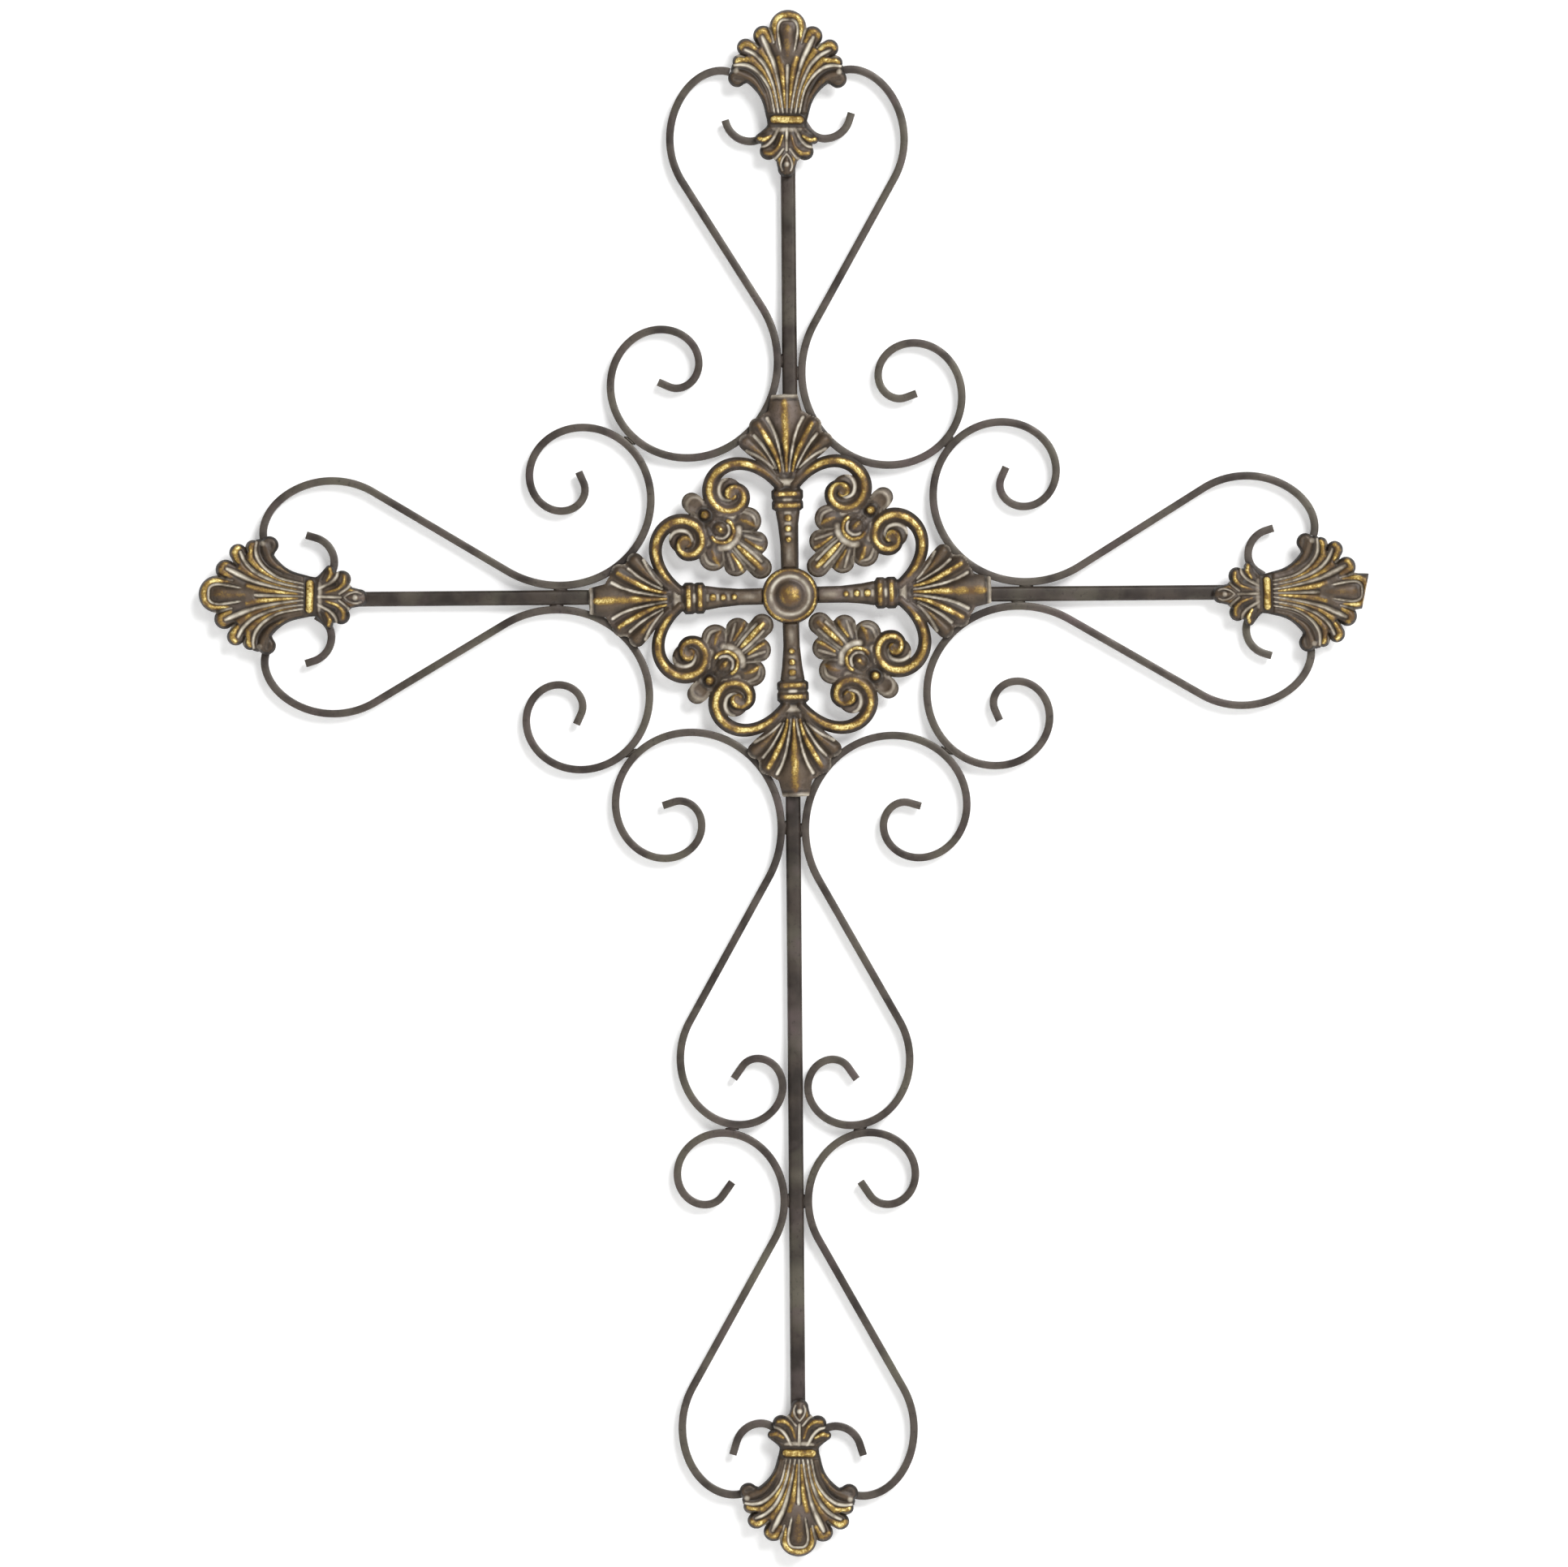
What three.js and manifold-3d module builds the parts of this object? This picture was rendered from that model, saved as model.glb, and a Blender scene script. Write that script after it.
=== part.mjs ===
// Decorative wall cross: bars, bent scroll rods and hooks with pressed finials and a pressed medallion.
// Millimetres. +X right, +Z up, the front faces -Y, and the backs of the bars lie on the wall at Y = 0.
// The origin is the crossing of the bars.
import * as THREE from 'three';
import { mergeVertices } from 'three/addons/utils/BufferGeometryUtils.js';
import Module from 'manifold-3d';

const BAR_WIDTH = 8.8;
const BAR_DEPTH = 6;
const BAR_CORNER = 2.4;
const BAR_TOP = 300;
const BAR_BOTTOM = -524;
const ARM_LEFT_END = 303;
const ARM_RIGHT_END = 298;
const GAP = 0.3;

const ROD = 4.5;
const WELD_GAP = 0.5;
const ROD_MIDDLE = 3;
const ROD_TOUCH = BAR_WIDTH / 2 + WELD_GAP + ROD / 2;

// Bends are walked in short pieces. A station is kept once the chord strays this far from the true line,
// and sits this share of the stray outside the bend.
const WALK = 0.5;
const ROD_STRAY = 0.8;
const OUTSIDE_SHARE = 0.6;

const PRESSING_BACK = BAR_DEPTH + GAP;

// Each arm of the cross: the direction outward along it, the direction across it, and its turn from
// upright.
const ARMS = {
  top: { out: [0, 1], side: [1, 0], turn: 0 },
  left: { out: [-1, 0], side: [0, 1], turn: 90 },
  right: { out: [1, 0], side: [0, 1], turn: -90 },
  bottom: { out: [0, -1], side: [1, 0], turn: 180 },
};

// Bends are [length, radius at the start, radius at the end]. Radius 0 is straight, and the sign is
// the hand.
const CURL_RADIUS = 60.5;
const CURL_MIDDLE = 38.5;
const CURL_EYE = 10;
const CURL_LENGTH = 110;
const CURL_TIP = 7;
const ARM_LOOP = [
  [47.5, -48, -48],
  [40, -48, -13.2],
];
const WAIST_LOOP = [
  [23.5, -45.5, -45.5],
  [67.5, -45.5, -27],
  [63, -27, -9.5],
  [9, 0, 0],
];

// The eight scrolls round the crossing were bent to one pattern and differ a little from each other.
// touch: where the rod meets the bar. first: length of the wide bend. size: scale of the curl.
// bend: angle at which the rod leaves the bar. run: straight length before the loop.
const SCROLLS = {
  scroll_top_left: { arm: 'top', side: -1, touch: 139, first: 153, size: 1.024, bend: 32, run: 87 },
  scroll_top_right: { arm: 'top', side: 1, touch: 131.5, first: 143.5, size: 0.984, bend: 29.3, run: 97.5 },
  scroll_left_upper: { arm: 'left', side: 1, touch: 136.5, first: 144, size: 0.967, bend: 31, run: 92 },
  scroll_left_lower: { arm: 'left', side: -1, touch: 139, first: 147, size: 0.98, bend: 30.6, run: 89 },
  scroll_right_upper: {
    arm: 'right', side: 1,
    touch: 138.8, first: 146.5, size: 0.98, bend: 31.8, run: 86,
  },
  scroll_right_lower: {
    arm: 'right', side: -1,
    touch: 134, first: 145.5, size: 0.977, bend: 30.2, run: 89.5,
  },
  scroll_waist_left: {
    arm: 'bottom', side: -1,
    touch: 137, first: 147.5, size: 1.021, bend: 29.2, run: 96.8,
  },
  scroll_waist_right: {
    arm: 'bottom', side: 1,
    touch: 138.5, first: 143, size: 0.999, bend: 29.3, run: 96,
  },
};

const FOOT_RADIUS = 46.5;
const FOOT_CURL = [
  [83, -32, -11],
  [10, 0, 0],
];
const FOOT_LOOP = [
  [35, -50, -50],
  [50.5, -50, -17],
];
const FOOT_SCROLLS = {
  scroll_foot_left: { side: -1, touch: 357.5, first: 56, bend: 29.4, run: 99.5 },
  scroll_foot_right: { side: 1, touch: 358, first: 57, bend: 29.2, run: 100.5 },
};

// Hooks: trough is where the hook turns back, measured along its arm. tail is the straight end.
const HOOK_TROUGH_ACROSS = 22;
const HOOK_OUTER_RADIUS = 15;
const HOOK_OUTER_TURN = 73;
const HOOK_INNER_RADIUS = 12;
const HOOK_INNER_TURN = 58;
const HOOK_INNER_RUN = 4;
const HOOKS = {
  hook_top_left: { arm: 'top', side: -1, trough: 268.7, tail: 2 },
  hook_top_right: { arm: 'top', side: 1, trough: 270, tail: 4.5 },
  hook_left_upper: { arm: 'left', side: 1, trough: 270, tail: 6 },
  hook_left_lower: { arm: 'left', side: -1, trough: 272, tail: 5 },
  hook_right_upper: { arm: 'right', side: 1, trough: 270, tail: 4.5 },
  hook_right_lower: { arm: 'right', side: -1, trough: 268.5, tail: 4.5 },
  hook_bottom_left: { arm: 'bottom', side: -1, trough: 489, tail: 8 },
  hook_bottom_right: { arm: 'bottom', side: 1, trough: 491, tail: 7 },
};

// Finials: collar is the distance of the collar band along the arm, aside its offset, lean its tilt.
const FINIALS = {
  finial_top: { arm: 'top', collar: 280, aside: -0.4, lean: -1, stretch: 1 },
  finial_left: { arm: 'left', collar: 283.5, aside: 1.6, lean: -2, stretch: 1.01 },
  finial_right: { arm: 'right', collar: 280, aside: 1, lean: 1, stretch: 0.95, foldedTip: true },
  finial_bottom: { arm: 'bottom', collar: 505.5, aside: -0.5, lean: -1.1, stretch: 0.94 },
};
const FOLD_HEIGHT = 62;
const FOLD_TILT = -13;
const FOLD_CUT = 60;

// Petals: the depth of the valley between two of them, and the steps round each end.
const VALLEY = 0.45;
const TIP_ANGLES = [-52, 0, 52];

// A finial stands on its collar, with X across and Z along the arm.
// Places are [across, along, half width, height], and tip is a round end's length over its half width.
const HOOP = { along: 55.8, across: 8.2, rise: 7, half: 2.9, height: 5.4, first: 210, last: -30, steps: 6 };
const SPINE = {
  places: [
    [0, 2, 1.6, 5],
    [0, 22, 2.6, 5],
    [0, 36, 4.8, 4.4],
    [0, 48, 9.4, 4],
    [0, 56, 11.2, 3.4],
  ],
  tip: 0.87,
};
const FLUTES = [
  {
    places: [
      [2.9, 2, 1.5, 5.4],
      [4.8, 22, 2.2, 5.4],
      [8.4, 36, 3.6, 5.4],
      [12, 45, 5.2, 5.2],
      [14.5, 50.3, 6, 4.4],
    ],
    tip: 1,
  },
  {
    places: [
      [5.6, 2, 1.5, 5.4],
      [8, 20, 2.1, 5.4],
      [13, 33, 3.2, 5.4],
      [19.6, 40.6, 4.6, 5],
      [24.8, 43.4, 5.2, 4],
    ],
    tip: 1,
  },
  {
    places: [
      [8.2, 2, 1.5, 5],
      [10.6, 16, 2.1, 5],
      [15.4, 26, 2.8, 4.8],
      [22, 32.4, 3.8, 4.4],
      [28, 34.8, 4.5, 3.6],
    ],
    tip: 1,
  },
  {
    places: [
      [10.5, 2, 1.7, 4.4],
      [12.8, 12, 2.2, 4.4],
      [17, 20.4, 3.4, 4],
      [23.4, 25.6, 4.4, 4.4],
      [29.8, 26.4, 5, 3.8],
    ],
    tip: 0.9,
  },
];
// The calyx hangs from the collar, with its places measured down from it.
const CALYX_MIDDLE = {
  places: [
    [0, 2, 1.6, 4.6],
    [0, 14, 2.4, 4],
    [0, 22, 6, 4.4],
    [0, 28.2, 4.6, 3.2],
  ],
  tip: 0.95,
};
const CALYX_SIDES = [
  {
    places: [
      [3.4, 2, 1.6, 5],
      [4.8, 10, 3.2, 6],
      [8, 15.6, 4.6, 5.6],
      [11.4, 17.8, 4.8, 4],
    ],
    tip: 0.95,
  },
  {
    places: [
      [8, 1.6, 2.6, 5],
      [10.2, 5.6, 3, 5.8],
      [13.2, 8.6, 3.2, 5.4],
      [15.6, 10.4, 3, 4],
    ],
    tip: 1.1,
  },
];
const COLLAR = [
  [-11.6, 0.2, 2, 5.8],
  [-9.4, 0.2, 3.4, 7.6],
  [9.4, 0.2, 3.4, 7.6],
  [11.6, 0.2, 2, 5.8],
];
const COLLAR_FACETS = 3;

// The medallion repeats each quarter turn: an arm that points up, and a leaf on the diagonal beside it.
// Places are measured from the crossing.
const MEDALLION_TURN = 1.2;
const MEDALLION_ASIDE = -0.8;
const BOSS_SIDES = 16;
const BOSS = [
  [0, 0],
  [16.8, 0],
  [16.8, 4.6],
  [15.2, 6.6],
  [13, 5.4],
  [10.6, 4.6],
  [8, 6.4],
  [4.6, 8.6],
  [0, 9.4],
];
// The baluster arm as [distance from the crossing, half width, height].
const BALUSTER = [
  [14, 4.9, 5],
  [30, 4.9, 5],
  [42, 6, 5.4],
  [50, 7.3, 5.6],
  [51.2, 9.3, 6.6],
  [55, 9.3, 6.6],
  [56.4, 8.6, 5.6],
  [57.8, 9.4, 6.8],
  [62, 9.4, 6.8],
  [63.2, 8, 5.2],
  [68, 6.4, 4.4],
  [74, 4.4, 3.4],
];
const FAN_MIDDLE = {
  places: [
    [0, 70, 1.8, 4],
    [0, 86, 4.6, 5.4],
    [0, 104, 9.8, 5.6],
    [0, 114.5, 8.4, 4.4],
  ],
  tip: 0.55,
};
const FAN_SIDES = [
  {
    places: [
      [3.4, 70, 1.6, 4],
      [8.2, 82, 3.4, 5],
      [14.6, 94.6, 4.6, 4.8],
      [17.7, 100.6, 4.8, 3.8],
    ],
    tip: 0.8,
  },
  {
    places: [
      [6, 69, 1.8, 3.6],
      [11.4, 77, 3.2, 4.4],
      [19.6, 86.6, 4.4, 4.4],
      [23.8, 91, 4.6, 3.4],
    ],
    tip: 0.8,
  },
];
const VOLUTE_START = [4.4, 65.2];
const VOLUTE_HEADING = 47;
const VOLUTE = [
  [4, 0, 0],
  [25.5, -42.5, -19.2],
  [49.5, -19.2, -8.6],
  [24, -8.6, -3.6],
];
const VOLUTE_HALF = 3.2;
const VOLUTE_SWELL = 1.3;
const VOLUTE_WIDEST = 0.55;
const VOLUTE_HEIGHT = 5;
const VOLUTE_STRAY = 0.85;
const ARCH_FACETS = 3;
// The sheet is whole under a volute's coil, so that the turns of the coil stand on a low round floor.
const COIL_MIDDLE = [35, 62];
const COIL_SIDES = 7;
const COIL = [
  [0, 0],
  [8.6, 0],
  [8, 2.4],
  [0, 2.4],
];

// The leaf points at the crossing, with its petals measured inward from the bead at its foot.
const BEAD_ALONG = 69;
const BEAD_SIDES = 6;
const BEAD = [
  [0, 0],
  [3.2, 0],
  [2.6, 5],
  [0, 6.6],
];
const LEAF_MIDDLE = {
  places: [
    [0, 6, 2.4, 3],
    [0, 19, 4, 4.4],
    [0, 34, 6, 4.8],
    [0, 44, 6.6, 3.8],
  ],
  tip: 1.18,
};
const LEAF_SIDES = [
  {
    places: [
      [2.6, 7, 2, 3],
      [5, 19, 3.6, 4.4],
      [7.2, 28.6, 6, 4.6],
      [8.6, 33, 7.2, 3.6],
    ],
    tip: 1,
  },
  {
    places: [
      [5, 6, 2.4, 3],
      [8.6, 14, 5.4, 4.4],
      [12.4, 18.8, 7.4, 4.6],
      [14.8, 20.6, 8.4, 3.6],
    ],
    tip: 0.95,
  },
];
const LEAF_WEB = [
  [0, 49, 15, 2],
  [0, 60, 16.5, 2.6],
  [0, 67, 9, 2.4],
];
const LEAF_TAIL = [
  [0, 64, 4, 2.6],
  [0, 78, 5.6, 3.4],
  [0, 83, 5, 3],
  [0, 85.6, 2.6, 2],
];
const CUP = { along: 55, across: 6.6, rise: 6.6, half: 1.9, height: 5, first: 150, last: 390, steps: 4 };

const IRON = { color: 0x5c5250, metalness: 0.6, roughness: 0.55 };
const BRONZE = { color: 0x5a4630, metalness: 0.6, roughness: 0.5 };

const wasm = await Module();
wasm.setup();

const radians = THREE.MathUtils.degToRad;

// A closed geometry as a solid that can be joined and cut, facing out.
function solid(geometry) {
  const bare = geometry.clone();
  bare.deleteAttribute('normal');
  bare.deleteAttribute('uv');
  const merged = mergeVertices(bare, 1e-4);
  const make = (triVerts) =>
    new wasm.Manifold(
      new wasm.Mesh({ numProp: 3, vertProperties: merged.attributes.position.array, triVerts }),
    );
  const faces = new Uint32Array(merged.index.array);
  const made = make(faces);
  return made.volume() > 0 ? made : make(faces.reverse());
}

function geometryOf(made) {
  const mesh = made.getMesh();
  const geometry = new THREE.BufferGeometry();
  geometry.setAttribute('position', new THREE.BufferAttribute(mesh.vertProperties, 3));
  geometry.setIndex(new THREE.BufferAttribute(mesh.triVerts, 1));
  geometry.computeVertexNormals();
  return geometry;
}

const join = (solids) => wasm.Manifold.union(solids);

// Follows a row of bends and keeps the stations that a faceted rod or ridge needs.
function follow(start, heading, bends, stray) {
  let [x, y] = start;
  let angle = heading;
  const stations = [{ x, y }];
  for (const [length, first, last] of bends) {
    const pieces = Math.ceil(length / WALK);
    const piece = length / pieces;
    let turned = 0;
    let walked = 0;
    for (let i = 0; i < pieces; i++) {
      const radius = first + ((last - first) * (i + 0.5)) / pieces;
      const turn = radius === 0 ? 0 : piece / radius;
      x += piece * Math.cos(angle + turn / 2);
      y += piece * Math.sin(angle + turn / 2);
      angle += turn;
      turned += Math.abs(turn);
      walked += piece;
      if ((turned * walked) / 8 >= stray || i === pieces - 1) {
        const outside = i === pieces - 1 ? 0 : Math.sign(turn) * stray * OUTSIDE_SHARE;
        stations.push({ x: x + outside * Math.sin(angle), y: y - outside * Math.cos(angle) });
        turned = 0;
        walked = 0;
      }
    }
  }
  return stations;
}

// A path through stations, given point by point so that each bend keeps its own steps.
class StationPath extends THREE.Curve {
  constructor(points) {
    super();
    this.points = points;
  }

  getPoint(t, target = new THREE.Vector3()) {
    const place = t * (this.points.length - 1);
    const i = Math.min(Math.floor(place), this.points.length - 2);
    return target.lerpVectors(this.points[i], this.points[i + 1], place - i);
  }

  getUtoTmapping(u) {
    return u;
  }
}

// A square rod along a path of [along, across] places on one side of an arm.
function rodGeometry(stations, arm, side) {
  const { out, side: across } = ARMS[arm];
  const points = stations.map(
    ({ x, y }) =>
      new THREE.Vector3(
        out[0] * x + across[0] * side * y,
        -ROD_MIDDLE,
        out[1] * x + across[1] * side * y,
      ),
  );
  const half = ROD / 2;
  const section = new THREE.Shape([
    new THREE.Vector2(-half, -half),
    new THREE.Vector2(half, -half),
    new THREE.Vector2(half, half),
    new THREE.Vector2(-half, half),
  ]);
  return new THREE.ExtrudeGeometry(section, {
    steps: points.length - 1,
    extrudePath: new StationPath(points),
  });
}

// One rod from two halves that start at the same place and head apart.
function twoWay(start, heading, backward, forward) {
  const back = follow(start, heading + Math.PI, backward, ROD_STRAY).reverse();
  return back.concat(follow(start, heading, forward, ROD_STRAY).slice(1));
}

function scrollRod({ arm, side, touch, first, size, bend, run }, loop) {
  const curl = [
    [first, -CURL_RADIUS * size, -CURL_MIDDLE * size],
    [CURL_LENGTH * size, -CURL_MIDDLE * size, -CURL_EYE * size],
    [CURL_TIP, 0, 0],
  ];
  const leave = [CURL_RADIUS * radians(bend), CURL_RADIUS, CURL_RADIUS];
  return rodGeometry(twoWay([touch, ROD_TOUCH], 0, curl, [leave, [run, 0, 0], ...loop]), arm, side);
}

function footRod({ side, touch, first, bend, run }) {
  const curl = [[first, -FOOT_RADIUS, FOOT_CURL[0][1]], ...FOOT_CURL];
  const leave = [FOOT_RADIUS * radians(bend), FOOT_RADIUS, FOOT_RADIUS];
  const path = twoWay([touch, ROD_TOUCH], 0, curl, [leave, [run, 0, 0], ...FOOT_LOOP]);
  return rodGeometry(path, 'bottom', side);
}

function hookRod({ arm, side, trough, tail }) {
  const outer = [
    [HOOK_OUTER_RADIUS * radians(HOOK_OUTER_TURN), -HOOK_OUTER_RADIUS, -HOOK_OUTER_RADIUS],
    [tail, 0, 0],
  ];
  const inner = [
    [HOOK_INNER_RADIUS * radians(HOOK_INNER_TURN), HOOK_INNER_RADIUS, HOOK_INNER_RADIUS],
    [HOOK_INNER_RUN, 0, 0],
  ];
  return rodGeometry(twoWay([trough, HOOK_TROUGH_ACROSS], Math.PI / 2, inner, outer), arm, side);
}

// A flattened tube's outline with rounded corners, its back on Y = 0.
function barGeometry(from, to, arm) {
  const half = BAR_WIDTH / 2;
  const corner = BAR_CORNER;
  const outline = new THREE.Shape();
  outline.absarc(half - corner, corner - BAR_DEPTH, corner, -Math.PI / 2, 0);
  outline.absarc(half - corner, -corner, corner, 0, Math.PI / 2);
  outline.absarc(corner - half, -corner, corner, Math.PI / 2, Math.PI);
  outline.absarc(corner - half, corner - BAR_DEPTH, corner, Math.PI, Math.PI * 1.5);
  const geometry = new THREE.ExtrudeGeometry(outline, {
    depth: to - from,
    bevelEnabled: false,
    curveSegments: 2,
  });
  return geometry.translate(0, 0, from).rotateY(radians(-ARMS[arm].turn));
}

// A raised ridge with a flat back along a path of [across, along] places.
// Each station has its half width and its height over the back, and the arch has that many facets.
function ridge(places, facets = 2) {
  const middle = new THREE.CatmullRomCurve3(places.map(([x, z]) => new THREE.Vector3(x, 0, z)));
  const rings = places.map(([x, z, half, height], i) => {
    const along = middle.getTangent(i / (places.length - 1));
    const ring = [];
    for (let k = 0; k <= facets; k++) {
      const arch = (Math.PI * k) / facets;
      const aside = -half * Math.cos(arch);
      ring.push([x + along.z * aside, -PRESSING_BACK - height * Math.sin(arch), z - along.x * aside]);
    }
    return ring;
  });
  const count = facets + 1;
  const position = rings.flat(2);
  const index = [];
  for (let i = 0; i + 1 < rings.length; i++) {
    for (let k = 0; k < count; k++) {
      const a = i * count + k;
      const b = i * count + ((k + 1) % count);
      index.push(a, b, b + count, a, b + count, a + count);
    }
  }
  const last = (rings.length - 1) * count;
  for (let k = 1; k + 1 < count; k++) {
    index.push(0, k + 1, k, last, last + k, last + k + 1);
  }
  const geometry = new THREE.BufferGeometry();
  geometry.setAttribute('position', new THREE.Float32BufferAttribute(position, 3));
  geometry.setIndex(index);
  return solid(geometry);
}

// A fan of petals side by side as one closed body with a flat back, from the left petal to the right one.
// Each petal has as many places, from its root to the middle of its round end.
// Neighbours meet in a valley that runs out at the notch between their ends.
function fan(petals) {
  const last = petals[0].places.length - 1;
  const position = [];
  const index = [];
  const vertex = ([x, z], height) => position.push(x, -PRESSING_BACK - height, z) / 3 - 1;
  const heading = (places, j) => {
    const from = places[Math.max(j - 1, 0)];
    const to = places[Math.min(j + 1, last)];
    return new THREE.Vector2(to[0] - from[0], to[1] - from[1]).normalize();
  };
  const beside = (places, j, share) => {
    const [x, z, half] = places[j];
    const along = heading(places, j);
    return [x + along.y * half * share, z - along.x * half * share];
  };
  const halfway = (a, b) => [(a[0] + b[0]) / 2, (a[1] + b[1]) / 2];
  const rows = (place) => petals[0].places.map((_, j) => place(j));

  const lines = [rows((j) => vertex(beside(petals[0].places, j, -1), 0))];
  petals.forEach(({ places }, k) => {
    lines.push(rows((j) => vertex(places[j], places[j][3])));
    const next = petals[k + 1]?.places;
    const valley = (j) => {
      const height = j === last ? 0 : VALLEY * Math.min(places[j][3], next[j][3]);
      return vertex(halfway(beside(places, j, 1), beside(next, j, -1)), height);
    };
    lines.push(rows(next ? valley : (j) => vertex(beside(places, j, 1), 0)));
  });

  for (let i = 0; i + 1 < lines.length; i++) {
    for (let j = 0; j < last; j++) {
      const [a, b, c, d] = [lines[i][j], lines[i + 1][j], lines[i + 1][j + 1], lines[i][j + 1]];
      index.push(a, b, c, a, c, d);
    }
  }

  const edge = lines[0].slice();
  petals.forEach(({ places, tip }, k) => {
    const [x, z, half] = places[last];
    const along = heading(places, last);
    const round = TIP_ANGLES.map((angle) => {
      const forward = tip * half * Math.cos(radians(angle));
      const aside = half * Math.sin(radians(angle));
      return vertex(
        [x + along.x * forward + along.y * aside, z + along.y * forward - along.x * aside],
        0,
      );
    });
    const end = [lines[2 * k][last], ...round, lines[2 * k + 2][last]];
    const crest = lines[2 * k + 1][last];
    for (let i = 0; i + 1 < end.length; i++) {
      index.push(crest, end[i + 1], end[i]);
    }
    edge.push(...end.slice(1));
  });
  edge.push(...lines.at(-1).slice(0, last).reverse());

  const roots = lines.map((line) => line[0]);
  const under = roots.slice(1, -1).map((v) => vertex([position[3 * v], position[3 * v + 2]], 0));
  const feet = [roots[0], ...under, roots.at(-1)];
  for (let i = 0; i + 1 < roots.length; i++) {
    if (roots[i] !== feet[i]) index.push(roots[i + 1], roots[i], feet[i]);
    if (roots[i + 1] !== feet[i + 1]) index.push(roots[i + 1], feet[i], feet[i + 1]);
  }
  edge.push(...under.slice().reverse());

  const flat = edge.map((v) => new THREE.Vector2(position[3 * v], position[3 * v + 2]));
  for (const [a, b, c] of THREE.ShapeUtils.triangulateShape(flat, [])) {
    index.push(edge[c], edge[b], edge[a]);
  }

  const geometry = new THREE.BufferGeometry();
  geometry.setAttribute('position', new THREE.Float32BufferAttribute(position, 3));
  geometry.setIndex(index);
  return solid(geometry);
}

// A turned body about the front-to-back axis, from [radius, height] pairs over a pressing's back.
function turned(profile, segments, [across, along] = [0, 0]) {
  const points = profile.map(([radius, height]) => new THREE.Vector2(radius, height));
  const geometry = new THREE.LatheGeometry(points, segments);
  return solid(geometry.rotateX(Math.PI).translate(across, -PRESSING_BACK, along));
}

// Places along an arc, for a ridge that bends round like a hoop.
function arc({ along, across, rise, half, height, first, last, steps }) {
  const places = [];
  for (let i = 0; i <= steps; i++) {
    const around = radians(first + ((last - first) * i) / steps);
    places.push([across * Math.cos(around), along + rise * Math.sin(around), half, height]);
  }
  return places;
}

const flip = (places) => places.map(([x, ...rest]) => [-x, ...rest]);
const mirrored = (petals) => petals.map(({ places, tip }) => ({ places: flip(places), tip })).reverse();
const wholeFan = (middle, sides) => fan([...mirrored(sides), middle, ...sides]);

function finialSolid() {
  const calyx = geometryOf(wholeFan(CALYX_MIDDLE, CALYX_SIDES)).rotateY(Math.PI);
  return join([
    ridge(arc(HOOP)),
    wholeFan(SPINE, FLUTES),
    ridge(COLLAR, COLLAR_FACETS),
    solid(calyx),
  ]);
}

// The end of one finial's top lobe is folded back, which leaves a slanted straight edge.
function foldTip(made) {
  const beyond = new THREE.BoxGeometry(FOLD_CUT, FOLD_CUT, FOLD_CUT)
    .translate(0, 0, FOLD_CUT / 2)
    .rotateY(radians(-FOLD_TILT))
    .translate(0, 0, FOLD_HEIGHT);
  return made.subtract(solid(beyond));
}

function finial({ arm, collar, aside, lean, stretch, foldedTip }) {
  const made = foldedTip ? foldTip(finialSolid()) : finialSolid();
  return geometryOf(made)
    .scale(1, 1, stretch)
    .rotateY(radians(-lean))
    .translate(aside, 0, collar)
    .rotateY(radians(-ARMS[arm].turn));
}

function volute() {
  const stations = follow(VOLUTE_START, radians(VOLUTE_HEADING), VOLUTE, VOLUTE_STRAY);
  const reach = Math.max(VOLUTE_WIDEST, 1 - VOLUTE_WIDEST);
  return stations.map(({ x, y }, i) => {
    const share = i / (stations.length - 1);
    const swell = 1 - Math.abs(share - VOLUTE_WIDEST) / reach;
    return [x, y, VOLUTE_HALF + VOLUTE_SWELL * swell, VOLUTE_HEIGHT];
  });
}

function medallionArm() {
  const baluster = BALUSTER.map(([along, half, height]) => [0, along, half, height]);
  const [across, along] = COIL_MIDDLE;
  return join([
    ridge(baluster, ARCH_FACETS),
    wholeFan(FAN_MIDDLE, FAN_SIDES),
    ridge(volute(), ARCH_FACETS),
    ridge(flip(volute()), ARCH_FACETS),
    turned(COIL, COIL_SIDES, [across, along]),
    turned(COIL, COIL_SIDES, [-across, along]),
  ]);
}

function medallionLeaf() {
  const inward = geometryOf(wholeFan(LEAF_MIDDLE, LEAF_SIDES));
  return join([
    solid(inward.rotateY(Math.PI).translate(0, 0, BEAD_ALONG)),
    ridge(LEAF_WEB),
    ridge(arc(CUP)),
    turned(BEAD, BEAD_SIDES, [0, BEAD_ALONG]),
    ridge(LEAF_TAIL, ARCH_FACETS),
  ]);
}

function medallion() {
  const arm = geometryOf(medallionArm());
  const leaf = geometryOf(medallionLeaf());
  const quarters = [0, 90, 180, 270].flatMap((turn) => [
    solid(arm.clone().rotateY(radians(turn))),
    solid(leaf.clone().rotateY(radians(turn + 45))),
  ]);
  const whole = join([turned(BOSS, BOSS_SIDES), ...quarters]);
  return geometryOf(whole).rotateY(radians(-MEDALLION_TURN)).translate(MEDALLION_ASIDE, 0, 0);
}

const cross = new THREE.Group();
cross.name = 'wall_cross';

function add(name, geometry, finish) {
  const mesh = new THREE.Mesh(geometry, new THREE.MeshStandardMaterial(finish));
  mesh.name = name;
  cross.add(mesh);
}

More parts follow.
